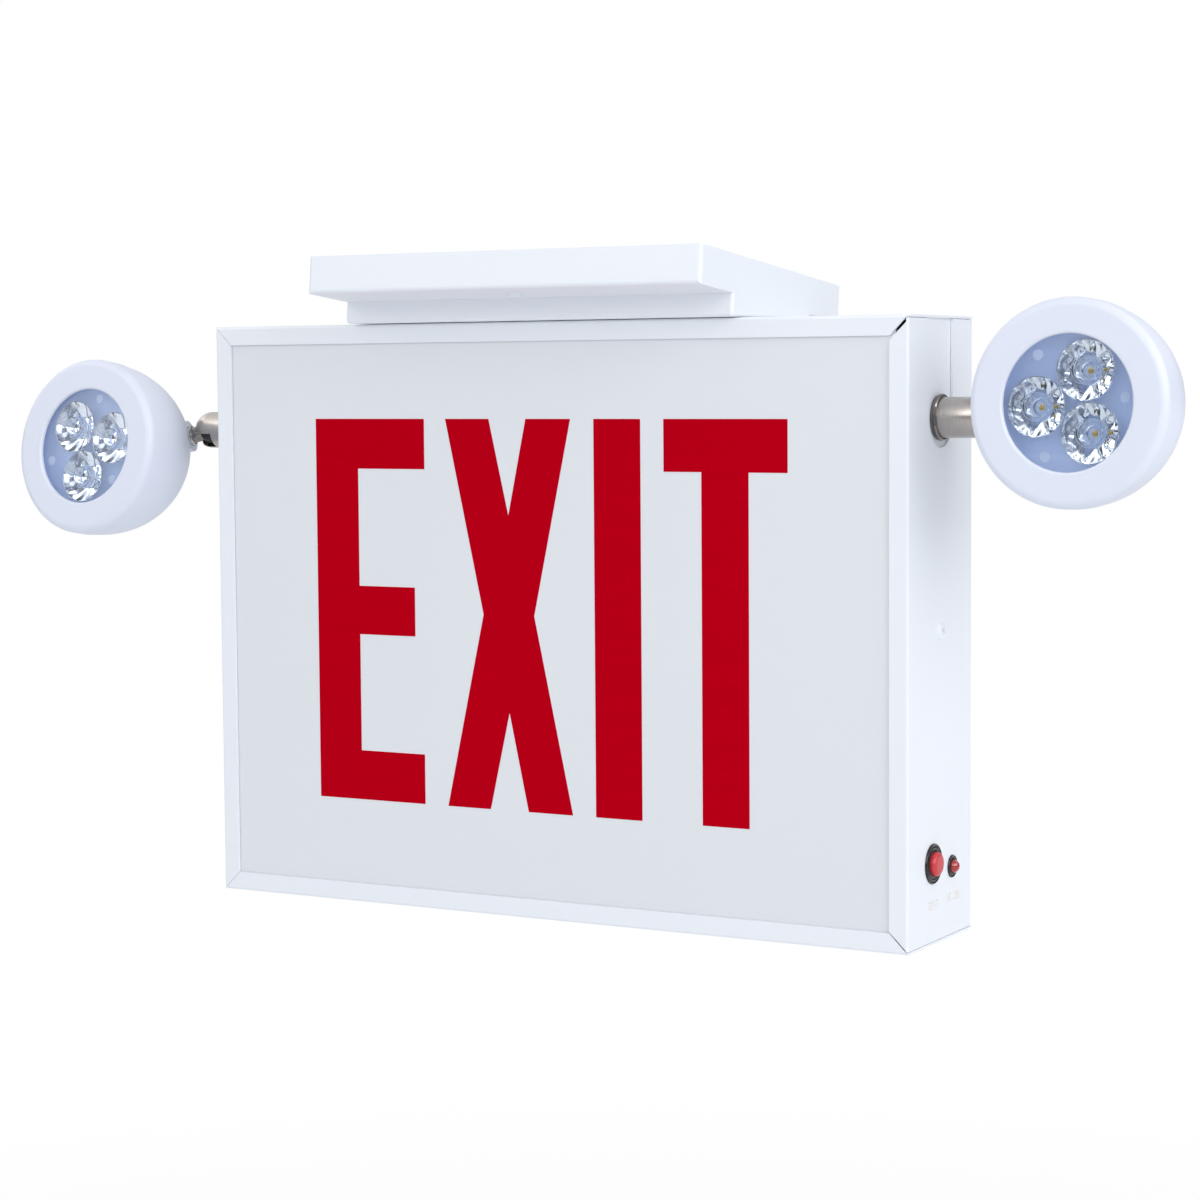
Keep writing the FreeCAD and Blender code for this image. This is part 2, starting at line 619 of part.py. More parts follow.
def canopy():
    """A pitched steel pan whose full-width foot step sits level on the housing."""
    body = new_body("CanopyPan")
    outline = new_sketch(body, "XY_Plane", "PanOutline", "-can_h")
    rectangle(outline, "-can_w / 2", "can_w / 2", "-can_deep / 2", "can_deep / 2")
    pad(body, outline, "can_h", "PanBlock")

    foot = new_sketch(body, "YZ_Plane", "FootOutline")
    front, rear = "-step_deep / 2", "step_deep / 2"
    polygon(foot, [(front, "-can_h / 2"), (front, foot_height(front, "seat")),
                   (rear, foot_height(rear, "seat")), (rear, "-can_h / 2")])
    block = pad(body, foot, "can_w", "FootBlock", middle=True)

    half_w, half_s, half_d = s.can_w / 2, s.step_deep / 2, s.can_deep / 2

    def foot_edge(edge):
        b = edge.BoundBox
        below = b.ZMin < -s.can_h - 0.5
        corner = along(edge, Z) and near(abs(b.XMin), half_w) and b.ZMax < -s.can_h + 0.5
        bottom = b.ZMax < -s.can_h - 0.5
        return below and (corner or bottom) and b.YMin > -half_s - s.seat and b.YMax < half_s + s.seat

    feet = fillet(body, block, "FootEdges", "step_r", foot_edge)
    fillet(body, feet, "PanEdges", "can_r",
           lambda e: (along(e, X) and near(abs(e.BoundBox.YMin), half_d)
                      and near(e.BoundBox.ZMin, -s.can_h))
           or (along(e, Z) and near(abs(e.BoundBox.XMin), half_w) and near(abs(e.BoundBox.YMin), half_d)))

    hollow = new_sketch(body, "XY_Plane", "PanHollow")
    rectangle(hollow, "can_steel - can_w / 2", "can_w / 2 - can_steel",
              "can_steel - can_deep / 2", "can_deep / 2 - can_steel")
    pocket(body, hollow, "PanHollowCut", "can_h - can_steel")
    inner = new_sketch(body, "YZ_Plane", "FootHollow")
    front, rear = "can_steel - step_deep / 2", "step_deep / 2 - can_steel"
    polygon(inner, [(front, "-can_h / 2"), (front, foot_height(front, "seat + can_steel")),
                    (rear, foot_height(rear, "seat + can_steel")), (rear, "-can_h / 2")])
    pocket(body, inner, "FootHollowCut", "can_w - 2 * can_steel", middle=True)
    holes = new_sketch(body, "XY_Plane", "PanHoles")
    for side in ("-", ""):
        circle(holes, "0", f"{side}can_screw_pitch / 2", "can_screw_r + seat")
    body.Tip = pocket(body, holes, "PanHoleCut")
    body.Placement = canopy_place()
    opening = cylinder("NippleOpening", "nipple_r + seat", "can_rise", Vector(0, 0, s.house_tall))
    return keep(cut("Canopy", body, opening), "canopy")


def canopy_bar():
    """The slotted crossbar flush with the canopy's rim."""
    body = new_body("CanopyBar")
    outline = new_sketch(body, "XY_Plane", "BarOutline", "-bar_t")
    rectangle(outline, "-bar_w / 2", "bar_w / 2", "-bar_len / 2", "bar_len / 2")
    block = pad(body, outline, "bar_t", "BarStrip")
    fillet(body, block, "BarCorners", "bar_w / 4", lambda e: along(e, Z))
    holes = new_sketch(body, "XY_Plane", "BarHoles")
    circle(holes, "0", "0", "nipple_r")
    for side in ("-", ""):
        circle(holes, "0", f"{side}can_screw_pitch / 2", "can_screw_r + thread_clear")
    pocket(body, holes, "BarHoleCut")
    slots = new_sketch(body, "XY_Plane", "BarSlots")
    run = "(bar_slot_len / 2 - bar_slot_r)"
    for side in ("-", ""):
        middle = f"{side}bar_slot_pitch / 2"
        rectangle(slots, "-bar_slot_r", "bar_slot_r", f"{middle} - {run}", f"{middle} + {run}")
    pocket(body, slots, "BarSlotCut")
    ends = new_sketch(body, "XY_Plane", "BarSlotEnds")
    for side in ("-", ""):
        for end in ("-", "+"):
            circle(ends, "0", f"{side}bar_slot_pitch / 2 {end} {run}", "bar_slot_r")
    body.Tip = pocket(body, ends, "BarSlotEndCut")
    return keep(body, "canopy_bar", canopy_place())


def canopy_screws():
    place = canopy_place()
    up = place.Rotation.multVec(Z)
    screws = []
    for i, side in enumerate((-1, 1)):
        at = place.multVec(Vector(0, side * s.can_screw_pitch / 2, -s.can_h))
        head = cylinder(f"CanopyScrewHead{i}", "can_head_r", "can_head_t", at, -up)
        shank = cylinder(f"CanopyScrewShank{i}", "can_screw_r", "can_h - seat", at, up)
        screws.append(join(f"CanopyScrew{i}", head, shank))
    return keep(group("CanopyScrews", *screws), "canopy_screws")


def nipple():
    """Hollow threaded nipple through the housing's top and the canopy's foot, with its two nuts."""
    under = s.house_tall - s.steel - s.nipple_nut_t
    above = s.house_tall + s.seat + s.can_steel
    low, high = under - s.nipple_proud, above + s.nipple_nut_t + s.nipple_proud
    axis = Vector(0, 0, low)
    length = f"{high - low}"
    outer = cylinder("NippleOuter", "nipple_r", length, axis)
    bore = cylinder("NippleBore", "nipple_bore", length, axis)
    keep(cut("Nipple", outer, bore), "canopy_nipple")
    nuts = []
    for i, z in enumerate((under, above)):
        body = hexagon(f"NippleHex{i}", "nipple_nut_af", "nipple_nut_t", Vector(0, 0, z), Z)
        hole = cylinder(f"NippleHexBore{i}", "nipple_r + thread_clear", "nipple_nut_t", Vector(0, 0, z))
        nuts.append(cut(f"NippleNut{i}", body, hole))
    keep(group("NippleNuts", *nuts), "canopy_nipple_nuts")


# ---------------------------------------------------------------- lamps

class Lamp:
    """Places of one lamp: pivot, lamp axis and swivel post, from its yaw, pitch and roll."""

    def __init__(self, side, outward, drop, yaw, pitch, roll):
        self.side = side
        self.out = X * outward
        self.pivot = Vector(outward * (s.house_w / 2 + s.neck_reach), 0, s.house_tall - drop)
        yaw, pitch, roll = (math.radians(a) for a in (yaw, pitch, roll))
        right = Vector(math.cos(yaw), math.sin(yaw), 0)
        front = Vector(math.sin(yaw) * math.cos(pitch), -math.cos(yaw) * math.cos(pitch), math.sin(pitch))
        self.back = -front
        up = right.cross(self.back)
        self.inward = right * (-outward * math.cos(roll)) + up * math.sin(roll)
        self.centre = self.pivot - self.inward * s.pivot_side - self.back * s.pivot_back
        turn = math.radians(s.stem_turn)
        self.stem = -(self.inward * math.cos(turn) + self.back * math.sin(turn))
        self.place = facing(self.centre, self.back, self.inward)
        self.stem_place = facing(self.pivot, self.stem, self.place.Rotation.multVec(Y))
        self.neck_place = facing(self.pivot, self.out, self.stem)

    def name(self, word):
        return f"{word}{self.side.title()}"

    def label(self, word):
        return f"{word}_{self.side}"

    def neck(self, seat_depth):
        """Flange, slotted domed tube and lock nut; seat_depth is the flange's seat below the side."""
        mouth = self.pivot - self.out * s.neck_reach
        bore = "tube_r + tube_fit"
        turned(self.name("Flange"), self.label("neck_flange"),
               [(bore, f"-({seat_depth})"), ("flange_r", f"-({seat_depth})"), ("flange_r", "flange_proud"),
                (bore, "flange_proud")], facing(mouth, self.out),
               ("flange_proud / 2", rim_at(s.flange_r, s.flange_proud)))

        length = "neck_reach + steel + recess + steel + neck_inside"
        start = Vector(0, 0, -value(length))
        shell = cylinder(self.name("TubeShell"), "tube_r", length, start)
        dome = doc.addObject("Part::Sphere", self.name("TubeDome"))
        bind(dome, Radius="tube_r")
        bore_ = cylinder(self.name("TubeBore"), "tube_bore", length, start)
        socket = doc.addObject("Part::Sphere", self.name("TubeSocket"))
        bind(socket, Radius="tube_bore")
        gap = s.stem_r + s.stem_slack
        reach = s.tube_r + s.slot_over
        span = "stem_r + stem_slack + tube_r + slot_over"
        slot = box(self.name("TubeSlot"), span, "2 * (stem_r + stem_slack)", span,
                   Vector((reach - gap) / 2, 0, (reach - gap) / 2))
        tube = cut(self.name("Tube"), join(self.name("TubeBody"), shell, dome), bore_, socket, slot)
        keep(tube, self.label("neck_tube"), self.neck_place)

        hold = value(seat_depth) + s.steel + s.seat
        nut_at = mouth - self.out * (hold + s.neck_nut_t)
        body = hexagon(self.name("NeckHex"), "neck_nut_af", "neck_nut_t", nut_at, self.out)
        hole = cylinder(self.name("NeckHexBore"), "tube_r + thread_clear", "neck_nut_t", nut_at, self.out)
        keep(cut(self.name("NeckNut"), body, hole), self.label("neck_nut"))

    def swivel(self):
        """Ball and hollow post, its nut and the collar round the nut on the lamp's seat."""
        ball = doc.addObject("Part::Sphere", self.name("Ball"))
        bind(ball, Radius="tube_bore - ball_fit")
        stem = cylinder(self.name("Stem"), "stem_r", "seat_reach + boss_wall + stem_end")
        bore = cylinder(self.name("StemBore"), "stem_bore", "seat_reach + boss_wall + stem_end + 2 * tube_bore",
                        Vector(0, 0, -2 * s.tube_bore))
        keep(cut(self.name("Swivel"), join(self.name("SwivelBody"), ball, stem), bore),
             self.label("swivel_post"), self.stem_place)
        turned(self.name("PostNut"), self.label("post_nut"),
               [("stem_r + thread_clear", "seat_reach - post_nut_t"), ("post_nut_r", "seat_reach - post_nut_t"),
                ("post_nut_r", "seat_reach"), ("stem_r + thread_clear", "seat_reach")], self.stem_place)
        turned(self.name("Collar"), self.label("seat_collar"),
               [("post_nut_r + seat", "seat_reach - collar_t"), ("collar_r", "seat_reach - collar_t"),
                ("collar_r", "seat_reach"), ("post_nut_r + seat", "seat_reach")], self.stem_place)

    def bezel(self):
        """Soft front ring with the lens seat inside."""
        body = new_body(self.name("Bezel"))
        profile = new_sketch(body, "XZ_Plane", self.name("BezelProfile"))
        hide = "lens_open + lens_over + seat"
        behind = "lens_set + lens_t + seat"
        polygon(profile, [("lens_open", "0"), ("lamp_r", "0"), ("lamp_r", "bezel_deep"),
                          ("lamp_r - lamp_wall", "bezel_deep"), ("lamp_r - lamp_wall", f"{behind} + lamp_wall"),
                          (f"{hide} + lamp_wall", behind), (hide, behind), (hide, "lens_set - seat"),
                          ("lens_open", "lens_set - seat")])
        form = revolve(body, profile, self.name("BezelForm"))
        outer = fillet(body, form, self.name("BezelOuter"), "bezel_front_r", rim_at(s.lamp_r, 0))
        body.Tip = fillet(body, outer, self.name("BezelInner"), "bezel_inner_r", rim_at(s.lens_open, 0))
        keep(body, self.label("lamp_bezel"), self.place)

    def bowl(self):
        """Domed rear shell with a flat seat and an inner boss for the swivel post."""
        rim = s.bezel_deep + s.seat / 2
        radius = "lamp_r - bowl_inset"

        def dome(word, less):
            straight = cylinder(self.name(word + "Rim"), f"{radius} - ({less})", "bowl_flat", Vector(0, 0, rim))
            form = doc.addObject("Part::Ellipsoid", self.name(word + "Dome"))
            bind(form, Radius1=f"bowl_deep - ({less})", Radius2=f"{radius} - ({less})",
                 Radius3=f"{radius} - ({less})")
            form.Angle1, form.Angle2 = 0, 90
            form.Placement = Placement(Vector(0, 0, rim + s.bowl_flat), Rotation())
            return join(self.name(word), straight, form)

        pivot = Vector(s.pivot_side, 0, s.pivot_back)
        turn = math.radians(s.stem_turn)
        toward = Vector(-math.cos(turn), 0, -math.sin(turn))
        boss = cylinder(self.name("SeatBoss"), "collar_r + lamp_wall", "seat_reach + boss_wall", pivot, toward)
        hollow = cut(self.name("BowlHollow"), dome("BowlInner", "lamp_wall"), boss)
        spot = cylinder(self.name("SeatFace"), "collar_r + seat", "seat_reach", pivot, toward)
        hole = cylinder(self.name("StemHole"), "stem_r + thread_clear", "seat_reach + 2 * boss_wall", pivot,
                        toward)
        keep(cut(self.name("Bowl"), dome("BowlOuter", "0"), hollow, spot, hole),
             self.label("lamp_bowl"), self.place)

    def light(self):
        """Lens with its pads, three optics, the light plate and its chips."""
        top = s.lens_set + s.lens_t + s.seat
        plate_at = top + s.optic_h
        spots = [math.radians(120 * k) for k in range(3)]
        disc = cylinder(self.name("LensDisc"), "lens_open + lens_over", "lens_t", Vector(0, 0, s.lens_set))
        pads = [cylinder(self.name("LensPad") + str(k), "pad_r", "optic_h + seat",
                         Vector(-s.pad_pcr * math.cos(a), -s.pad_pcr * math.sin(a), s.lens_set + s.lens_t))
                for k, a in enumerate(spots)]
        keep(join(self.name("Lens"), disc, *pads), self.label("lamp_lens"), self.place)

        optics, chips = [], []
        for k, a in enumerate(spots):
            at = Vector(s.optic_pcr * math.cos(a), s.optic_pcr * math.sin(a), top)
            mouth = cylinder(self.name("OpticMouth") + str(k), "optic_r", "optic_h / 6", at)
            cone = doc.addObject("Part::Cone", self.name("OpticCone") + str(k))
            bind(cone, Radius1="optic_r", Radius2="optic_foot", Height="optic_h")
            cone.Placement = Placement(at, Rotation())
            well = cylinder(self.name("OpticWell") + str(k), "optic_well", "optic_h / 2", at)
            nest = cylinder(self.name("OpticNest") + str(k), "chip", "2 * chip_t",
                            at + Z * (s.optic_h - 2 * s.chip_t))
            optics.append(cut(self.name("Optic") + str(k), join(self.name("OpticSolid") + str(k), mouth, cone),
                              well, nest))
            chips.append(box(self.name("Chip") + str(k), "chip", "chip", "chip_t",
                             Vector(at.x, at.y, plate_at - s.chip_t / 2)))
        keep(group(self.name("Optics"), *optics), self.label("lamp_optics"), self.place)
        keep(group(self.name("Chips"), *chips), self.label("lamp_chips"), self.place)
        keep(cylinder(self.name("Plate"), "lamp_r - bowl_inset - lamp_wall - seat", "plate_t"),
             self.label("lamp_plate"), self.place * Placement(Vector(0, 0, plate_at), Rotation()))

    def build(self, seat_depth):
        self.neck(seat_depth)
        self.swivel()
        self.bezel()
        self.bowl()
        self.light()


def check_and_write():
    """Stops on any failed object, then writes one file for each sub-part."""
    doc.recompute()
    for obj in doc.Objects:
        if {"Invalid", "Error"} & set(obj.State):
            raise RuntimeError(f"{obj.Name}: {obj.State}")
    for node in NODES:
        if node.Shape.isNull() or not node.Shape.isValid():
            raise RuntimeError(f"{node.Label}: bad shape")
    os.makedirs("parts", exist_ok=True)
    for node in NODES:
        node.Shape.exportStep(os.path.join("parts", f"{node.Label}.step"))
        print(f"{node.Label}: {len(node.Shape.Solids)} solid(s), {node.Shape.Volume:.0f} mm3")


housing_frame()
end_cover()
end_bracket()
panel("LegendPanel", "legend_panel", "panel_t", "steel + seat - house_deep / 2")
panel("BackPanel", "back_panel", "back_t", "house_deep / 2 - steel - seat - back_t")
cover_screw()
test_button()
battery()
light_strips()
canopy()
canopy_bar()
canopy_screws()
nipple()
LAMPS = [Lamp("left", -1, s.neck_drop_left, s.left_yaw, s.left_pitch, s.left_roll),
         Lamp("right", 1, s.neck_drop_right, s.right_yaw, s.right_pitch, s.right_roll)]
for lamp, depth in zip(LAMPS, ("0", "steel + recess")):
    lamp.build(depth)
check_and_write()
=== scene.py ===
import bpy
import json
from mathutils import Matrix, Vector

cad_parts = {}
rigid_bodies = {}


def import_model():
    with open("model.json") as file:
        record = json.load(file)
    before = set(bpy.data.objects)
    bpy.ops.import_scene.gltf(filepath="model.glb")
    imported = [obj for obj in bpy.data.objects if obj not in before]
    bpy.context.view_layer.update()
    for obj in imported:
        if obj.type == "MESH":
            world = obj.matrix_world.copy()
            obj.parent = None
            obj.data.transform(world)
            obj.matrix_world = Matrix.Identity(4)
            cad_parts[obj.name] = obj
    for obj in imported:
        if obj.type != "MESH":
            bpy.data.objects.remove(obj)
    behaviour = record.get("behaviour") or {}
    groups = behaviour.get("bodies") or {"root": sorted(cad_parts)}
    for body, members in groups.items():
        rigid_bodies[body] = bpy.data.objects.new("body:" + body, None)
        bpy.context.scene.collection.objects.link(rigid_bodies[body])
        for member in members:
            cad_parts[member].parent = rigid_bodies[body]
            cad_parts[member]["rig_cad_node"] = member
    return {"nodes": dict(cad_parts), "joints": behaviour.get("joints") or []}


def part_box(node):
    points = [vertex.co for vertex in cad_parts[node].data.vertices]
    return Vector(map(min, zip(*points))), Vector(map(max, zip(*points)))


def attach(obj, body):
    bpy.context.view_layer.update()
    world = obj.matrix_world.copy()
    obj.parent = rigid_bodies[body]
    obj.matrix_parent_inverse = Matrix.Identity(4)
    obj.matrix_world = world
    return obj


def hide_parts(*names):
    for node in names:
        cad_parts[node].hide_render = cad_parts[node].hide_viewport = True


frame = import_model()

"""Looks of a steel-housed exit sign with two adjustable emergency lamps.

Everything is in metres in the frame of the CAD: origin at the centre of the housing's flat
underside, +Z up, +X to the reader's right and -Y towards the reader.  The classes hold their
sizes in millimetres, as a maker's drawing would, and a Surface turns them into metres.
"""

import json
import logging
import math
from abc import ABC, abstractmethod
from dataclasses import dataclass, field
from enum import Enum
from typing import ClassVar, Iterable, Sequence

import bpy
import numpy as np
from mathutils import Matrix, Vector
from mathutils.geometry import tessellate_polygon

MM = 0.001
CREASE = 34.0
WHITE = (1.0, 1.0, 1.0, 1.0)
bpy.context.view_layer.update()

logging.basicConfig(level=logging.INFO, format="%(levelname)s %(name)s: %(message)s")
log = logging.getLogger("exit_light")

Colour = tuple[float, float, float]


def screen_colour(red: int, green: int, blue: int) -> Colour:
    """Linear colour of a screen colour.

    Args:
        red: red from 0 to 255.
        green: green from 0 to 255.
        blue: blue from 0 to 255.

    Returns:
        The three linear values that a shader takes.
    """
    share = np.array([red, green, blue]) / 255.0
    linear = np.where(share <= 0.04045, share / 12.92, ((share + 0.055) / 1.055) ** 2.4)
    return tuple(float(v) for v in linear)


# ------------------------------------------------------------------ surfaces


@dataclass
class Surface:
    """Points in millimetres and the faces between them.

    Attributes:
        points: an array of n points, n by 3.
        faces: arrays of faces, m by 3 or m by 4, that hold point numbers.
    """

    points: np.ndarray
    faces: list[np.ndarray]

    @classmethod
    def grid(cls, points: np.ndarray, around: bool = False, closed: bool = False) -> "Surface":
        """A skin over a grid of points.

        Each face joins a point to its right, lower right and lower neighbour in the grid.

        Args:
            points: rows by columns by 3.
            around: True where the last column meets the first.
            closed: True where the last row meets the first.

        Returns:
            The skin as a surface.
        """
        rows, columns = points.shape[:2]
        row = np.arange(rows if closed else rows - 1)[:, None]
        column = np.arange(columns if around else columns - 1)[None, :]
        below, right = (row + 1) % rows, (column + 1) % columns
        quads = np.stack([row * columns + column, row * columns + right,
                          below * columns + right, below * columns + column], axis=-1)
        return cls(points.reshape(-1, 3), [quads.reshape(-1, 4)])

    @classmethod
    def together(cls, surfaces: Iterable["Surface"]) -> "Surface":
        """One surface that holds several, whose point numbers follow on."""
        parts = list(surfaces)
        starts = np.cumsum([0] + [len(part.points) for part in parts[:-1]])
        faces = [face + start for part, start in zip(parts, starts) for face in part.faces]
        return cls(np.concatenate([part.points for part in parts]), faces)

    def placed(self, place: np.ndarray) -> "Surface":
        """The surface turned and moved by a 4 by 4 matrix in millimetres."""
        return Surface(self.points @ place[:3, :3].T + place[:3, 3], self.faces)

    def welded(self, reach: float = 1e-4) -> "Surface":
        """The surface with points that meet made one, so that seams and poles are closed.

        A four-sided face whose neighbouring corners became one point turns into a triangle.

        Args:
            reach: millimetres within which points count as one.

        Returns:
            The closed surface.
        """
        keys = np.round(self.points / reach).astype(np.int64)
        _, first, number = np.unique(keys, axis=0, return_index=True, return_inverse=True)
        number = number.reshape(-1)
        faces = []
        for face in self.faces:
            corners = number[face]
            same = corners == np.roll(corners, -1, axis=1)
            faces.append(corners[~same.any(axis=1)])
            if corners.shape[1] == 4:
                folded = same.sum(axis=1) == 1
                faces.append(corners[folded][~same[folded]].reshape(-1, 3))
        return Surface(self.points[first], [face for face in faces if len(face)])

    def outward(self) -> "Surface":
        """The surface with its faces turned to point out.

        The sum over faces of a corner dotted with the cross product of the next two is six times
        the volume, and is negative where the faces point in.
        """
        volume = 0.0
        for face in self.faces:
            a = self.points[face[:, 0]]
            for k in range(1, face.shape[1] - 1):
                b, c = self.points[face[:, k]], self.points[face[:, k + 1]]
                volume += float(np.einsum("ij,ij->", a, np.cross(b, c)))
        if volume >= 0:
            return self
        return Surface(self.points, [face[:, ::-1] for face in self.faces])

    def piece(self, name: str, crease: float) -> bpy.types.Object:
        """Makes the surface a mesh object that sits at the origin.

        Args:
            name: the piece's name.
            crease: degrees between faces from which an edge stays sharp.

        Returns:
            The new object.
        """
        mesh = bpy.data.meshes.new(name)
        faces = [corners for face in self.faces for corners in face.tolist()]
        mesh.from_pydata((self.points * MM).tolist(), [], faces)
        mesh.polygons.foreach_set("use_smooth", np.ones(len(faces), dtype=bool))
        mesh.set_sharp_from_angle(angle=math.radians(crease))
        mesh.validate()
        mesh.update()
        made = bpy.data.objects.new(name, mesh)
        bpy.context.scene.collection.objects.link(made)
        return made


def soft_corners(corners: Sequence[tuple[float, float, float]], steps: int = 7) -> np.ndarray:
    """A closed outline whose corners are rounded.

    Each corner's arc touches both of its sides.  Its centre lies on the corner's bisector, one
    radius over the sine of half the corner's angle away, and its points turn evenly from the
    first touching point to the second.

    Args:
        corners: across, along and rounding radius of each corner, in order.
        steps: points on each arc.

    Returns:
        The outline's points, n by 2.
    """
    data = np.array(corners, dtype=float)
    point, radius = data[:, :2], data[:, 2:]
    before = np.roll(point, 1, axis=0) - point
    after = np.roll(point, -1, axis=0) - point
    before /= np.linalg.norm(before, axis=1, keepdims=True)
    after /= np.linalg.norm(after, axis=1, keepdims=True)
    half = np.arccos(np.clip((before * after).sum(axis=1, keepdims=True), -1, 1)) / 2
    bisector = before + after
    bisector /= np.linalg.norm(bisector, axis=1, keepdims=True)
    centre = point + bisector * radius / np.sin(half)
    first = point + before * radius / np.tan(half) - centre
    second = point + after * radius / np.tan(half) - centre
    sweep = (math.pi - 2 * half)[:, None, :]
    t = np.linspace(0, 1, steps)[None, :, None]
    arc = np.sin((1 - t) * sweep) * first[:, None] + np.sin(t * sweep) * second[:, None]
    return (centre[:, None] + arc / np.sin(sweep)).reshape(-1, 2)


def lathe(outline: np.ndarray, turns: int = 96) -> Surface:
    """A closed outline of radius and height turned once round Z.

    Each point is the radius times the cosine, the radius times the sine, and the height.
    """
    angle = np.linspace(0, 2 * math.pi, turns, endpoint=False)
    radius, height = outline[:, :1], outline[:, 1:]
    points = np.stack([radius * np.cos(angle), radius * np.sin(angle),
                       np.broadcast_to(height, (len(outline), turns))], axis=-1)
    return Surface.grid(points, around=True, closed=True).welded().outward()


def plate(outline: np.ndarray, thickness: float) -> Surface:
    """A flat shape with an outline in X and Y and a thickness in Z.

    The outline is repeated at both heights, joined by four-sided faces, and both ends are filled
    with triangles.
    """
    count = len(outline)
    rings = np.stack([np.c_[outline, np.zeros(count)], np.c_[outline, np.full(count, thickness)]])
    sides = Surface.grid(rings, around=True)
    fill = np.array(tessellate_polygon([[Vector((x, y, 0)) for x, y in outline]]))
    lids = Surface(rings.reshape(-1, 3), [fill, fill[:, ::-1] + count])
    return Surface(sides.points, sides.faces + lids.faces)


def rib(path: np.ndarray, width: float, height: float, closed: bool = False) -> Surface:
    """A raised rounded line along a path in X and Y.

    At each point the path's two directions give a mitred side direction.  The section is a low
    arch: its offset to the side is half the width times a cosine, and its rise is the height
    times a sine.

    Args:
        path: the line's points, n by 2.
        width: millimetres across.
        height: millimetres above the face.
        closed: True where the line's end meets its start.

    Returns:
        The closed rib.
    """
    step = np.diff(path, axis=0, append=path[:1] if closed else path[-1:] * 2 - path[-2:-1])
    step /= np.linalg.norm(step, axis=1, keepdims=True)
    last = np.roll(step, 1, axis=0)
    if not closed:
        last[0], step[-1] = step[0], last[-1]
    side = np.stack([-(step + last)[:, 1], (step + last)[:, 0]], axis=1)
    across = np.stack([-step[:, 1], step[:, 0]], axis=1)
    side /= np.maximum((side * across).sum(axis=1, keepdims=True), 0.35)
    angle = np.linspace(0, math.pi, 7)
    offset, rise = np.cos(angle) * width / 2, np.sin(angle) * height
    flat = path[:, None, :] + side[:, None, :] * offset[None, :, None]
    lift = np.broadcast_to(rise[None, :, None], flat.shape[:2] + (1,))
    arch = np.concatenate([flat, lift], axis=2)
    if not closed:
        ends = [np.broadcast_to(np.array([*path[i], 0.0]), (1, len(angle), 3)) for i in (0, -1)]
        arch = np.concatenate([ends[0], arch, ends[1]])
    return Surface.grid(arch, around=True, closed=closed).welded(1e-3).outward()


def axes_place(origin: Sequence[float], x: Sequence[float], z: Sequence[float]) -> np.ndarray:
    """A 4 by 4 place in millimetres from an origin, a Z direction and a rough X direction."""
    z_axis = np.array(z, dtype=float) / np.linalg.norm(z)
    x_axis = np.array(x, dtype=float) - np.dot(x, z_axis) * z_axis
    x_axis /= np.linalg.norm(x_axis)
    place = np.eye(4)
    place[:3, 0], place[:3, 1], place[:3, 2] = x_axis, np.cross(z_axis, x_axis), z_axis
    place[:3, 3] = origin
    return place


# ------------------------------------------------------------------ shaders


class Link:
    """A shader socket's value, which can be added, multiplied, raised and compared."""

    def __init__(self, shader: "Shader", socket: bpy.types.NodeSocket) -> None:
        """Keeps the shader and the socket that gives the value."""
        self.shader = shader
        self.socket = socket

    def _math(self, operation: str, first: "Link | float", second: "Link | float") -> "Link":
        """A Math node's result for two values."""
        return self.shader.node("ShaderNodeMath", {"operation": operation}, {0: first, 1: second})

    def __add__(self, other: "Link | float") -> "Link":
        """This value plus another."""
        return self._math("ADD", self, other)

    __radd__ = __add__

    def __rsub__(self, other: float) -> "Link":
        """A number less this value."""
        return self._math("SUBTRACT", other, self)

    def __mul__(self, other: "Link | float") -> "Link":
        """This value times another."""
        return self._math("MULTIPLY", self, other)

    __rmul__ = __mul__

    def __pow__(self, other: float) -> "Link":
        """This value to a power."""
        return self._math("POWER", self, other)

    def larger(self, other: "Link | float") -> "Link":
        """The larger of two values."""
        return self._math("MAXIMUM", self, other)

    def smaller(self, other: "Link | float") -> "Link":
        """The smaller of two values."""
        return self._math("MINIMUM", self, other)


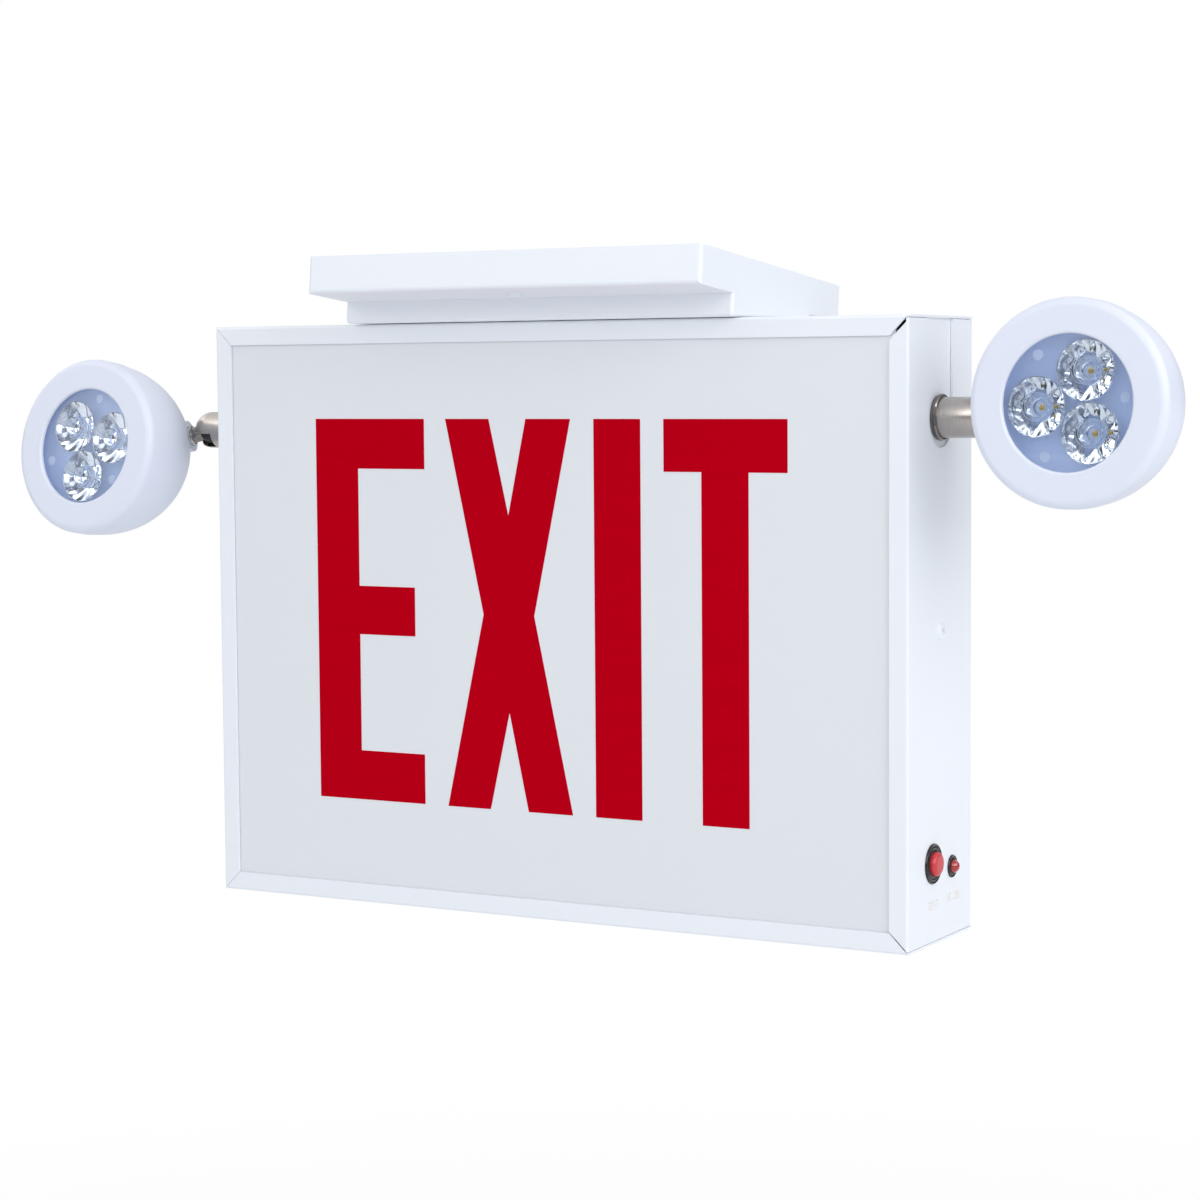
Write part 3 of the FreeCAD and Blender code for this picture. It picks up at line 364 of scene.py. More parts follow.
class Shader:
    """The node tree of one material or of the world, with short ways to fill it."""

    def __init__(self, tree: bpy.types.NodeTree) -> None:
        """Empties the tree."""
        self.tree = tree
        tree.nodes.clear()

    def node(self, kind: str, settings: dict | None = None, inputs: dict | None = None,
             output: int | str = 0) -> Link:
        """Adds a node.

        Args:
            kind: the node's type.
            settings: its own settings, set first; "stops" holds a ramp's positions and colours.
            inputs: values or links of its sockets, by number or name.
            output: the socket that is given back.

        Returns:
            A link to the output socket.
        """
        made = self.tree.nodes.new(kind)
        for key, setting in (settings or {}).items():
            if key == "stops":
                ramp = made.color_ramp.elements
                while len(ramp) < len(setting):
                    ramp.new(0.5)
                for element, (position, colour) in zip(ramp, setting):
                    element.position, element.color = position, (*colour, 1.0)
            else:
                setattr(made, key, setting)
        for key, given in (inputs or {}).items():
            if isinstance(given, Link):
                self.tree.links.new(given.socket, made.inputs[key])
            else:
                made.inputs[key].default_value = given
        return Link(self, made.outputs[output] if len(made.outputs) else None)

    def place(self, scale: Colour = (1.0, 1.0, 1.0)) -> Link:
        """The point on the piece in the object's own metres, stretched along each axis."""
        here = self.node("ShaderNodeTexCoord", output="Object")
        return self.node("ShaderNodeMapping", {}, {"Vector": here, "Scale": scale})

    def noise(self, scale: float, detail: float = 2.0, rough: float = 0.5,
              stretch: Colour = (1.0, 1.0, 1.0)) -> Link:
        """Soft noise from 0 to 1 with a number of lumps to the metre."""
        return self.node("ShaderNodeTexNoise", {},
                         {"Vector": self.place(stretch), "Scale": scale,
                          "Detail": detail, "Roughness": rough}, "Fac")

    def cells(self, scale: float, output: str = "Distance") -> Link:
        """Cells with a number to the metre."""
        return self.node("ShaderNodeTexVoronoi", {},
                         {"Vector": self.place(), "Scale": scale}, output)

    def part(self, vector: Link, axis: int) -> Link:
        """One of the three parts of a vector."""
        return self.node("ShaderNodeSeparateXYZ", {}, {0: vector}, axis)

    def ray(self, kind: str) -> Link:
        """1 for one kind of ray, such as Camera, and 0 for the others."""
        return self.node("ShaderNodeLightPath", output=f"Is {kind} Ray")

    def shining(self) -> Link:
        """1 for rays that come off gloss or through clear pieces, and 0 for the others."""
        return self.ray("Glossy").larger(self.ray("Transmission"))

    def between(self, share: Link, first: Link, second: Link) -> Link:
        """A shader that goes from the first to the second with the share."""
        return self.node("ShaderNodeMixShader", {}, {0: share, 1: first, 2: second})

    def blend(self, share: Link | float, first: Colour, second: Colour) -> Link:
        """A colour between two colours."""
        return self.node("ShaderNodeMix", {"data_type": "RGBA"},
                         {"Factor": share, 6: (*first, 1.0), 7: (*second, 1.0)}, 2)

    def bump(self, height: Link, strength: float, rise: float) -> Link:
        """A bumped normal from a height, whose full range is the rise in metres."""
        return self.node("ShaderNodeBump", {},
                         {"Height": height, "Strength": strength, "Distance": rise})


@dataclass(frozen=True)
class Finish(ABC):
    """A finish that a piece can wear.

    Attributes:
        name: the material's name.
        colour: its main linear colour.
    """

    name: str
    colour: Colour

    @abstractmethod
    def inputs(self, shader: Shader) -> dict:
        """The values and links of the Principled shader's sockets."""

    def toned(self, share: float) -> Colour:
        """The main colour times a share, with no part above 1."""
        return tuple(min(1.0, share * part) for part in self.colour)

    def surface(self, shader: Shader) -> Link:
        """The finish's shader."""
        return shader.node("ShaderNodeBsdfPrincipled", {}, self.inputs(shader))

    def material(self) -> bpy.types.Material:
        """The finish as a material, made once."""
        known = bpy.data.materials.get(self.name)
        if known:
            return known
        made = bpy.data.materials.new(self.name)
        made.use_nodes = True
        made.diffuse_color = (*self.colour, 1.0)
        shader = Shader(made.node_tree)
        shader.node("ShaderNodeOutputMaterial", {}, {"Surface": self.surface(shader)})
        return made


@dataclass(frozen=True)
class PowderCoat(Finish):
    """Stoved powder paint with a fine orange peel.

    Attributes:
        gloss: its roughness.
        peel: lumps of orange peel to the metre.
        tint: the colour of its faint clouds.
    """

    gloss: float = 0.36
    peel: float = 700.0
    tint: Colour = (0.80, 0.84, 0.90)

    def inputs(self, shader: Shader) -> dict:
        """Clouds in colour and gloss, and orange peel in the bump."""
        cloud = shader.noise(14.0, 3.0)
        peel = shader.noise(self.peel, 1.0)
        grain = shader.noise(5200.0, 2.0)
        return {
            "Base Color": shader.blend(cloud * 0.14, self.colour, self.tint),
            "Roughness": cloud * 0.10 + grain * 0.05 + (self.gloss - 0.07),
            "Specular IOR Level": 0.5,
            "Normal": shader.bump(peel + grain * 0.25, 0.10, 0.00006),
        }


@dataclass(frozen=True)
class LegendFace(Finish):
    """Light-diffusing face of the sign, with a fine even tooth."""

    def inputs(self, shader: Shader) -> dict:
        """A fine tooth in the bump and very faint clouds."""
        cloud = shader.noise(9.0, 2.0)
        tooth = shader.noise(3600.0, 2.0)
        return {
            "Base Color": shader.blend(cloud * 0.5, self.colour, self.toned(0.95)),
            "Roughness": tooth * 0.10 + 0.42,
            "Specular IOR Level": 0.35,
            "Normal": shader.bump(tooth, 0.12, 0.00003),
        }


@dataclass(frozen=True)
class LegendInk(Finish):
    """Screen-printed translucent ink, a touch uneven where the squeegee ran."""

    def inputs(self, shader: Shader) -> dict:
        """Long faint streaks across the letters, and pinhole grain."""
        streak = shader.noise(60.0, 3.0, 0.6, (0.25, 1.0, 4.0))
        grain = shader.noise(4200.0, 2.0)
        return {
            "Base Color": shader.blend(streak * 0.6 + grain * 0.15, self.colour, self.toned(0.86)),
            "Roughness": grain * 0.12 + 0.36,
            "Specular IOR Level": 0.0,
            "Normal": shader.bump(grain + streak, 0.08, 0.00003),
        }


@dataclass(frozen=True)
class BrushedNickel(Finish):
    """Nickel plate with fine rings of brushing round an axis along X."""

    def inputs(self, shader: Shader) -> dict:
        """Fine rings in colour, roughness and bump, with broad clouds over them."""
        rings = shader.noise(1.0, 3.0, 0.65, (5200.0, 90.0, 90.0))
        cloud = shader.noise(120.0, 2.0)
        return {
            "Base Color": shader.blend(rings * 0.45 + cloud * 0.15, self.colour, self.toned(0.78)),
            "Metallic": 1.0,
            "Roughness": rings * 0.12 + cloud * 0.04 + 0.19,
            "Normal": shader.bump(rings, 0.06, 0.00002),
        }


@dataclass(frozen=True)
class PolishedNickel(Finish):
    """Bright nickel plate with faint wipe marks."""

    def inputs(self, shader: Shader) -> dict:
        """Wipe marks in the roughness and a very fine ripple."""
        wipe = shader.noise(240.0, 3.0, 0.6, (1.0, 0.35, 1.0))
        ripple = shader.noise(900.0, 1.0)
        return {
            "Base Color": shader.blend(wipe * 0.4, self.colour, self.toned(0.9)),
            "Metallic": 1.0,
            "Roughness": wipe * 0.06 + 0.03,
            "Normal": shader.bump(ripple, 0.05, 0.00003),
        }


@dataclass(frozen=True)
class ZincPlate(Finish):
    """Zinc-plated sheet with soft crystal spangle."""

    def inputs(self, shader: Shader) -> dict:
        """Crystals in colour and roughness."""
        crystal = shader.node("ShaderNodeSeparateColor", {},
                              {"Color": shader.cells(260.0, "Color")}, 0)
        scratch = shader.noise(1.0, 2.0, 0.6, (60.0, 1500.0, 60.0))
        return {
            "Base Color": shader.blend(crystal * 0.6, self.colour, self.toned(1.16)),
            "Metallic": 1.0,
            "Roughness": crystal * 0.12 + scratch * 0.10 + 0.26,
            "Normal": shader.bump(scratch, 0.10, 0.00003),
        }


@dataclass(frozen=True)
class MouldedPlastic(Finish):
    """Injection-moulded plastic with a fine spark-eroded grain.

    Attributes:
        gloss: its roughness.
        grain: grains to the metre.
        coat: weight of its clear gloss.
    """

    gloss: float = 0.32
    grain: float = 2600.0
    coat: float = 0.0

    def inputs(self, shader: Shader) -> dict:
        """Grain in the bump and roughness, and a slight drift of the colour."""
        grain = shader.noise(self.grain, 2.0)
        drift = shader.noise(90.0, 2.0)
        return {
            "Base Color": shader.blend(drift * 0.5, self.colour, self.toned(0.85)),
            "Roughness": grain * 0.10 + (self.gloss - 0.05),
            "Coat Weight": self.coat,
            "Normal": shader.bump(grain, 0.10, 0.00003),
        }


@dataclass(frozen=True)
class ClearPlastic(Finish):
    """Clear moulded acrylic.

    Attributes:
        gloss: its least roughness.
    """

    gloss: float = 0.0

    def inputs(self, shader: Shader) -> dict:
        """Faint flow lines in the bump."""
        flow = shader.noise(160.0, 2.0)
        return {
            "Base Color": (*self.colour, 1.0),
            "Roughness": flow * 0.02 + self.gloss,
            "IOR": 1.49,
            "Transmission Weight": 1.0,
            "Normal": shader.bump(flow, 0.03, 0.00005),
        }


@dataclass(frozen=True)
class ClearSheet(Finish):
    """Thin clear sheet, which lets light straight through and shines where it is seen aslant.

    Attributes:
        shine: its share of gloss seen square on.
    """

    shine: float = 0.04

    def inputs(self, shader: Shader) -> dict:
        """A smooth gloss with faint flow lines."""
        flow = shader.noise(160.0, 2.0)
        return {"Roughness": flow * 0.02 + 0.01, "Normal": shader.bump(flow, 0.03, 0.00005)}

    def surface(self, shader: Shader) -> Link:
        """A see-through shader mixed with a glossy one.

        The share of gloss is Schlick's: it grows with the fifth power of the slant, and is the
        same on both faces of the sheet.
        """
        clear = shader.node("ShaderNodeBsdfTransparent", {}, {"Color": (*self.colour, 1.0)})
        given = self.inputs(shader)
        gloss = shader.node("ShaderNodeBsdfAnisotropic", {}, given)
        slant = shader.node("ShaderNodeLayerWeight", {},
                            {"Blend": 0.5, "Normal": given["Normal"]}, "Facing")
        return shader.between(slant**5.0 * (1.0 - self.shine) + self.shine, clear, gloss)


@dataclass(frozen=True)
class CircuitBoard(Finish):
    """Solder-masked board with faint round copper pads under the mask.

    Attributes:
        pad: the colour over the pads.
        pitch: pads to the metre.
        reach: radius of a pad in metres.
    """

    pad: Colour = (0.10, 0.30, 0.16)
    pitch: float = 170.0
    reach: float = 0.0022

    def inputs(self, shader: Shader) -> dict:
        """Pads that fade from the middle of each cell, and a fine mask grain."""
        away = shader.cells(self.pitch)
        grain = shader.noise(3000.0, 2.0)
        near = (self.reach * self.pitch - away).larger(0.0)
        return {
            "Base Color": shader.blend(near * 2.2, self.colour, self.pad),
            "Roughness": grain * 0.14 + 0.30,
            "Normal": shader.bump(away + grain * 0.1, 0.08, 0.00005),
        }


@dataclass(frozen=True)
class LightBoard(Finish):
    """White-masked light board with a blue cast.

    Attributes:
        painted_glow: strength of a painted glow of its own.  It makes up for a board that
        comes out too dark behind clear optics, and isn't something that the real one gives.
    """

    painted_glow: float = 0.16

    def inputs(self, shader: Shader) -> dict:
        """A fine mask grain, a faint drift of colour, and the painted glow."""
        grain = shader.noise(3000.0, 2.0)
        drift = shader.noise(60.0, 2.0)
        shade = shader.blend(drift * 0.6, self.colour, self.toned(0.88))
        return {
            "Base Color": shade,
            "Roughness": grain * 0.12 + 0.38,
            # Painted glow: the board gives off its own colour as light, which the unlit board
            # doesn't.
            "Emission Color": shade,
            "Emission Strength": self.painted_glow,
            "Normal": shader.bump(grain, 0.08, 0.00003),
        }


class Wear(Enum):
    """The finishes of this sign."""

    housing_paint = PowderCoat("housing_white_powder_coat", screen_colour(239, 242, 247))
    lamp_paint = PowderCoat("lamp_white_paint", screen_colour(225, 229, 242),
                            gloss=0.40, peel=1100.0)
    lettering = PowderCoat("cover_lettering_paint", screen_colour(226, 220, 215))
    panel_paint = LegendFace("legend_face_white", screen_colour(229, 231, 235))
    ink = LegendInk("legend_red_ink", screen_colour(190, 0, 24))
    zinc_steel = ZincPlate("zinc_plated_steel", screen_colour(168, 172, 178))
    brushed_nickel = BrushedNickel("neck_brushed_nickel", screen_colour(184, 177, 171))
    bright_nickel = PolishedNickel("bright_nickel", screen_colour(172, 167, 163))
    # Painted shade: a darker copy of the bright nickel, for the swivel post and the neck flange.
    nickel_painted_shade = PolishedNickel("darker_nickel_painted_shade", screen_colour(126, 122, 120))
    button_red = MouldedPlastic("test_button_red", screen_colour(206, 52, 60),
                                gloss=0.34, coat=0.15)
    indicator_red = MouldedPlastic("indicator_dark_red", screen_colour(172, 6, 20),
                                   gloss=0.08, coat=1.0)
    black_trim = MouldedPlastic("black_moulded_trim", screen_colour(20, 20, 26), gloss=0.16)
    # Painted shade: near black for the swivel ball, which stands for the shade in its slot.
    ball_painted_shade = MouldedPlastic("swivel_ball_black", screen_colour(20, 20, 22), gloss=0.45)
    switch_black = MouldedPlastic("switch_black", screen_colour(38, 38, 40), gloss=0.5)
    battery_sleeve = MouldedPlastic("battery_shrink_sleeve", screen_colour(38, 92, 150),
                                    gloss=0.25)
    chip_yellow = MouldedPlastic("light_chip_phosphor", screen_colour(238, 196, 70), gloss=0.4)
    chip_ceramic = MouldedPlastic("light_chip_ceramic", screen_colour(232, 234, 236), gloss=0.5)
    # Frosted pads, and also the pale rims on the optics' edges, which are painted highlights.
    frost_and_painted_highlight = MouldedPlastic("frosted_pad_and_painted_highlight", screen_colour(196, 208, 232), gloss=0.6)
    board_green = CircuitBoard("control_board_green", screen_colour(20, 92, 52))
    # Painted glow: the light board gives off a little light of its own.
    plate_grey = LightBoard("lamp_light_board_painted_glow", screen_colour(198, 214, 244))
    lens_clear = ClearSheet("lamp_lens_clear", (0.95, 0.97, 1.0))
    facet_clear = ClearSheet("lamp_optic_facets", (0.93, 0.95, 1.0), shine=0.62)
    optic_clear = ClearPlastic("lamp_optic_clear", (0.96, 0.98, 1.0))


def node_points(name: str) -> np.ndarray:
    """The points of a CAD node in millimetres, n by 3."""
    points = frame["nodes"][name].data.vertices
    flat = np.empty(3 * len(points), dtype=np.float32)
    points.foreach_get("co", flat)
    return flat.reshape(-1, 3).astype(float) / MM


def node_box(name: str) -> tuple[np.ndarray, np.ndarray]:
    """The low and the high corner of a CAD node in millimetres."""
    low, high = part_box(name)
    return np.array(low) / MM, np.array(high) / MM


def shift(x: float, y: float, z: float) -> np.ndarray:
    """A 4 by 4 place in millimetres that only moves."""
    place = np.eye(4)
    place[:3, 3] = x, y, z
    return place


def dress(made: bpy.types.Object, wear: Wear) -> None:
    """Gives an object one finish in all its material slots."""
    material = wear.value.material()
    if not made.material_slots:
        made.data.materials.append(material)
    for slot in made.material_slots:
        slot.material = material


@dataclass
class SubAssembly(ABC):
    """Pieces that are made and dressed together.

    NODES gives what each CAD node of the sub-assembly wears.

    Attributes:
        made: the pieces made so far.
    """

    made: list[bpy.types.Object] = field(default_factory=list, init=False)

    NODES: ClassVar[dict[str, Wear]] = {}

    @abstractmethod
    def build(self) -> None:
        """Makes the pieces' meshes."""

    def node(self, word: str) -> str:
        """The name of one of the sub-assembly's CAD nodes."""
        return word

    def dress(self) -> None:
        """Dresses the sub-assembly's CAD nodes in their finishes."""
        for word, wear in self.NODES.items():
            dress(frame["nodes"][self.node(word)], wear)

    def add(self, name: str, surface: Surface, body: str, wear: Wear, slot: str,
            replaces: Sequence[str] = (), crease: float = CREASE) -> None:
        """Makes a piece, dresses it and sets it on a body.

        Args:
            name: the piece's name.
            surface: its shape, in millimetres in the sign's frame.
            body: the CAD body that it rides on.
            wear: what it wears.
            slot: the record's material slot; not used.
            replaces: the CAD nodes that it stands for.
            crease: degrees from which an edge stays sharp.
        """
        made = surface.piece(name, crease)
        dress(made, wear)
        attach(made, body)
        if replaces:
            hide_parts(*replaces)
        self.made.append(made)
        log.info("%s: %d faces on %s, %s", name, len(made.data.polygons), body, wear.value.name)


# ------------------------------------------------------------------ the sign


@dataclass
class Legend(SubAssembly):
    """The printed word on the sign's face.

    Attributes:
        top: height of the letters' tops.
        foot: height of their feet.
        bar: height of the horizontal strokes.
        film: thickness of the ink.
        sunk: how far the ink reaches into the face.
    """

    top: float = 258.3
    foot: float = 55.3
    bar: float = 26.3
    film: float = 0.12
    sunk: float = 0.05

    def outlines(self) -> dict[str, list[tuple[float, float]]]:
        """The four letters' outlines, in X and height."""
        top, foot, bar = self.top, self.foot, self.bar
        middle = (top - 88.6, top - 114.4)
        letter_e = [(-139.6, foot), (-72.7, foot), (-72.7, foot + bar), (-112.8, foot + bar),
                    (-112.8, middle[1]), (-77.8, middle[1]), (-77.8, middle[0]),
                    (-112.8, middle[0]), (-112.8, top - bar), (-71.0, top - bar), (-71.0, top),
                    (-139.6, top)]
        letter_x = [(-58.3, foot), (-32.2, foot), (-20.2, 106.4), (-9.1, foot), (17.3, foot),
                    (-4.9, 157.0), (17.3, top), (-9.1, top), (-19.9, 208.4), (-31.4, top),
                    (-57.8, top), (-35.4, 157.0)]
        letter_i = [(30.9, foot), (57.8, foot), (57.8, top), (30.9, top)]
        letter_t = [(92.2, foot), (118.3, foot), (118.3, top - bar), (139.6, top - bar),
                    (139.6, top), (71.0, top), (71.0, top - bar), (92.2, top - bar)]
        return {"e": letter_e, "x": letter_x, "i": letter_i, "t": letter_t}

    def build(self) -> None:
        """Lays each letter on the face as a thin film."""
        front = node_box("legend_panel")[0][1]
        place = axes_place((0, front + self.sunk, 0), (1, 0, 0), (0, -1, 0))
        for letter, outline in self.outlines().items():
            film = plate(np.array(outline), self.film + self.sunk).placed(place)
            self.add(f"legend_{letter}", film.welded().outward(), "housing", Wear.ink,
                     "panel_paint")


@dataclass
class CrossHead:
    """A pan-head screw with a cross recess, along local Z with the head at the top.

    Attributes:
        head_r: head radius.
        head_t: head height.
        shank_r: shank radius.
        shank: shank length below the head.
        arm: reach of the recess from the centre.
        web: width of the recess.
        deep: depth of the recess.
    """

    head_r: float
    head_t: float
    shank_r: float
    shank: float
    arm: float = 0.52
    web: float = 0.17
    deep: float = 0.85

    def surface(self) -> Surface:
        """The screw as one skin.

        The skin is a polar grid whose rows run from the head's centre over its rim, under it and
        down the shank.  The head is a low cap: its height falls with the square of the radius.
        The recess is cut from it as a depth that is full inside either of two crossed bars and
        fades over a narrow band at their edges.
        """
        t = np.linspace(0, 1, 34)
        crown_r = t * self.head_r * 0.9
        crown_z = self.head_t * (1 - 0.28 * (t * 0.9) ** 2)
        turn = np.linspace(0, math.pi / 2, 7)[1:]
        rim_r = self.head_r * (0.9 + 0.1 * np.sin(turn))
        rim_z = crown_z[-1] * (0.35 + 0.65 * np.cos(turn))
        tail_r = np.array([self.head_r, self.shank_r, self.shank_r, self.shank_r * 0.8, 0.0])
        tail_z = np.array([0.0, 0.0, -self.shank + 0.4, -self.shank, -self.shank])
        radius = np.concatenate([crown_r, rim_r, tail_r])[:, None]
        height = np.concatenate([crown_z, rim_z, tail_z])[:, None]
        angle = np.linspace(0, 2 * math.pi, 128, endpoint=False)
        x, y = radius * np.cos(angle), radius * np.sin(angle)
        u, v = np.abs(x) / self.head_r, np.abs(y) / self.head_r
        across = np.maximum(np.minimum(self.arm - u, self.web - v),
                            np.minimum(self.arm - v, self.web - u))
        share = np.clip(across / 0.05 + 0.5, 0, 1)
        head = (height > 0.4 * self.head_t) & (radius < 0.89 * self.head_r)
        smooth = share * share * (3 - 2 * share)
        z = height - np.where(head, smooth * self.deep * self.head_t, 0)
        return Surface.grid(np.stack([x, y, z + 0 * x], axis=-1), around=True).welded().outward()


@dataclass
class Housing(SubAssembly):
    """The folded housing, its end cover and what shows on them.

    Attributes:
        word_height: height of the small raised words.
        word_wide: width of a letter, as a share of its height.
        word_pitch: step from letter to letter, as a share of the height.
        word_rise: how far they stand out.
        word_line: width of their strokes.
        words: the name, text, middle in Y and middle in height of each word.
        shank_r: radius of the cover screw's shank.
        screw_turn: the direction of one arm of its recess.
    """

    word_height: float = 3.9
    word_wide: float = 0.60
    word_pitch: float = 0.84
    word_rise: float = 0.22
    word_line: float = 0.64
    words: tuple[tuple[str, str, float, float], ...] = (
        ("word_test", "TEST", -9.0, 19.6), ("word_ac_on", "AC ON", 15.4, 20.4))
    shank_r: float = 2.0
    screw_turn: Colour = (0, 0.6, 1)

    NODES = {
        "housing_frame": Wear.housing_paint, "end_cover": Wear.housing_paint,
        "end_bracket": Wear.housing_paint, "back_panel": Wear.housing_paint,
        "legend_panel": Wear.panel_paint, "legend_light_strips": Wear.board_green,
    }

    def letters(self) -> dict[str, list[tuple[np.ndarray, bool]]]:
        """Strokes of the letters in a box 0.7 wide and 1 high, and whether each is closed."""
        arc = np.linspace(0, 1, 17)
        ring = 2 * math.pi * arc[:-1]
        bowl = math.radians(50) + math.radians(260) * arc
        upper = math.radians(20) + math.radians(250) * arc
        lower = math.radians(90) - math.radians(250) * arc
        s_top = np.c_[0.35 + 0.27 * np.cos(upper), 0.75 + 0.25 * np.sin(upper)]
        s_low = np.c_[0.35 + 0.29 * np.cos(lower), 0.25 + 0.25 * np.sin(lower)]

        def line(*points: tuple[float, float]) -> tuple[np.ndarray, bool]:
            """An open stroke through points."""
            return np.array(points, dtype=float), False

        return {
            "T": [line((0, 1), (0.7, 1)), line((0.35, 1), (0.35, 0))],
            "E": [line((0.62, 1), (0.04, 1), (0.04, 0), (0.62, 0)),
                  line((0.04, 0.52), (0.55, 0.52))],
            "S": [(np.concatenate([s_top, s_low[1:]]), False)],
            "A": [line((0, 0), (0.35, 1), (0.7, 0)), line((0.13, 0.36), (0.57, 0.36))],
            "C": [(np.c_[0.37 + 0.33 * np.cos(bowl), 0.5 + 0.5 * np.sin(bowl)], False)],
            "O": [(np.c_[0.35 + 0.35 * np.cos(ring), 0.5 + 0.5 * np.sin(ring)], True)],
            "N": [line((0.03, 0), (0.03, 1), (0.67, 0), (0.67, 1))],
        }

    def word(self, text: str, across: float, up: float) -> Surface:
        """A raised word on the end cover.

        Args:
            text: the word, in capitals.
            across: its middle in Y.
            up: its middle in height.

        Returns:
            The word's ribs.
        """
        strokes, tall = self.letters(), self.word_height
        pitch = self.word_pitch * tall
        face = node_box("end_cover")[1][0]
        start = -pitch * len(text) / 2 + (self.word_pitch - self.word_wide) / 2 * tall
        ribs = []
        for i, letter in enumerate(text):
            for path, closed in strokes.get(letter, ()):
                at = np.array([start + i * pitch, -tall / 2])
                stroke = path * [self.word_wide / 0.7 * tall, tall]
                ribs.append(rib(stroke + at, self.word_line, self.word_rise, closed))
        place = axes_place((face, across, up), (0, 1, 0), (1, 0, 0))
        return Surface.together(ribs).placed(place)

    def build(self) -> None:
        """Makes the small words and the cover's screw."""
        for name, text, across, up in self.words:
            self.add(name, self.word(text, across, up), "housing", Wear.lettering,
                     "housing_paint")
        low, high = node_box("end_cover_screw")
        face = node_box("end_cover")[1][0]
        screw = CrossHead((high[1] - low[1]) / 2, high[0] - face, self.shank_r, face - low[0])
        middle = (low + high) / 2
        place = axes_place((face, middle[1], middle[2]), self.screw_turn, (1, 0, 0))
        self.add("end_cover_cross_screw", screw.surface().placed(place), "housing",
                 Wear.housing_paint, "housing_paint", ["end_cover_screw"])


@dataclass
class Controls(SubAssembly):
    """Test button, indicator and what they are wired to.

    Attributes:
        groove: depth of the grooves turned in the rings' faces.
        lead_in: chamfer at the rings' bore.
        rim: width of the slope at their rim.
        rim_drop: how far it falls.
        crease: degrees from which their edges stay sharp.
    """

    groove: float = 0.3
    lead_in: float = 0.15
    rim: float = 0.35
    rim_drop: float = 0.45
    crease: float = 50.0

    NODES = {
        "test_button_ring": Wear.black_trim, "test_button": Wear.button_red,
        "indicator_ring": Wear.black_trim, "indicator_lamp": Wear.indicator_red,
        "control_board": Wear.board_green, "test_switch": Wear.switch_black,
        "battery_pack": Wear.battery_sleeve, "battery_strap": Wear.zinc_steel,
    }

    def ring(self, node: str, name: str, grooves: int) -> None:
        """A grooved ring with a sleeve in place of a plain one.

        The face's height is the rim's, less a groove that follows a squared sine of the radius.
        The bore is read from the node: it is the least distance of its points from the axis.

        Args:
            node: the CAD node that it stands for.
            name: the piece's name.
            grooves: how many grooves the face has.
        """
        co = node_points(node)
        low, high = co.min(axis=0), co.max(axis=0)
        middle = (low + high) / 2
        away = np.hypot(co[:, 1] - middle[1], co[:, 2] - middle[2])
        bore, outer, back = away.min(), away.max(), low[0]
        face = node_box("end_cover")[1][0]
        proud, sunk = high[0] - face, back - face
        sleeve = away[co[:, 0] < face - 0.5].max()
        t = np.linspace(0, 1, 12 * grooves + 1)
        inner, rim = bore + self.lead_in, outer - self.rim
        height = proud - self.groove * np.sin(math.pi * grooves * t)**2
        front = np.c_[inner + (rim - inner) * t, height]
        outline = np.concatenate([[[bore, proud - self.lead_in]], front,
                                  [[outer, proud - self.rim_drop], [outer, 0.0], [sleeve, 0.0],
                                   [sleeve, sunk], [bore, sunk]]])
        place = axes_place((face, middle[1], middle[2]), (0, 0, 1), (1, 0, 0))
        self.add(name, lathe(outline).placed(place), "housing", Wear.black_trim, "black_trim",
                 [node], self.crease)

    def build(self) -> None:
        """Makes the grooved rings round the button and the indicator."""
        self.ring("test_button_ring", "test_ring_grooved", 2)
        self.ring("indicator_ring", "indicator_ring_grooved", 1)


@dataclass
class Canopy(SubAssembly):
    """The pitched ceiling canopy and its fixings."""

    NODES = {
        "canopy": Wear.housing_paint, "canopy_screws": Wear.housing_paint,
        "canopy_bar": Wear.zinc_steel, "canopy_nipple": Wear.zinc_steel,
        "canopy_nipple_nuts": Wear.zinc_steel,
    }

    def build(self) -> None:
        """The CAD nodes have their final shapes."""


class Side(Enum):
    """Which end of the housing a lamp is on."""

    LEFT = "left"
    RIGHT = "right"


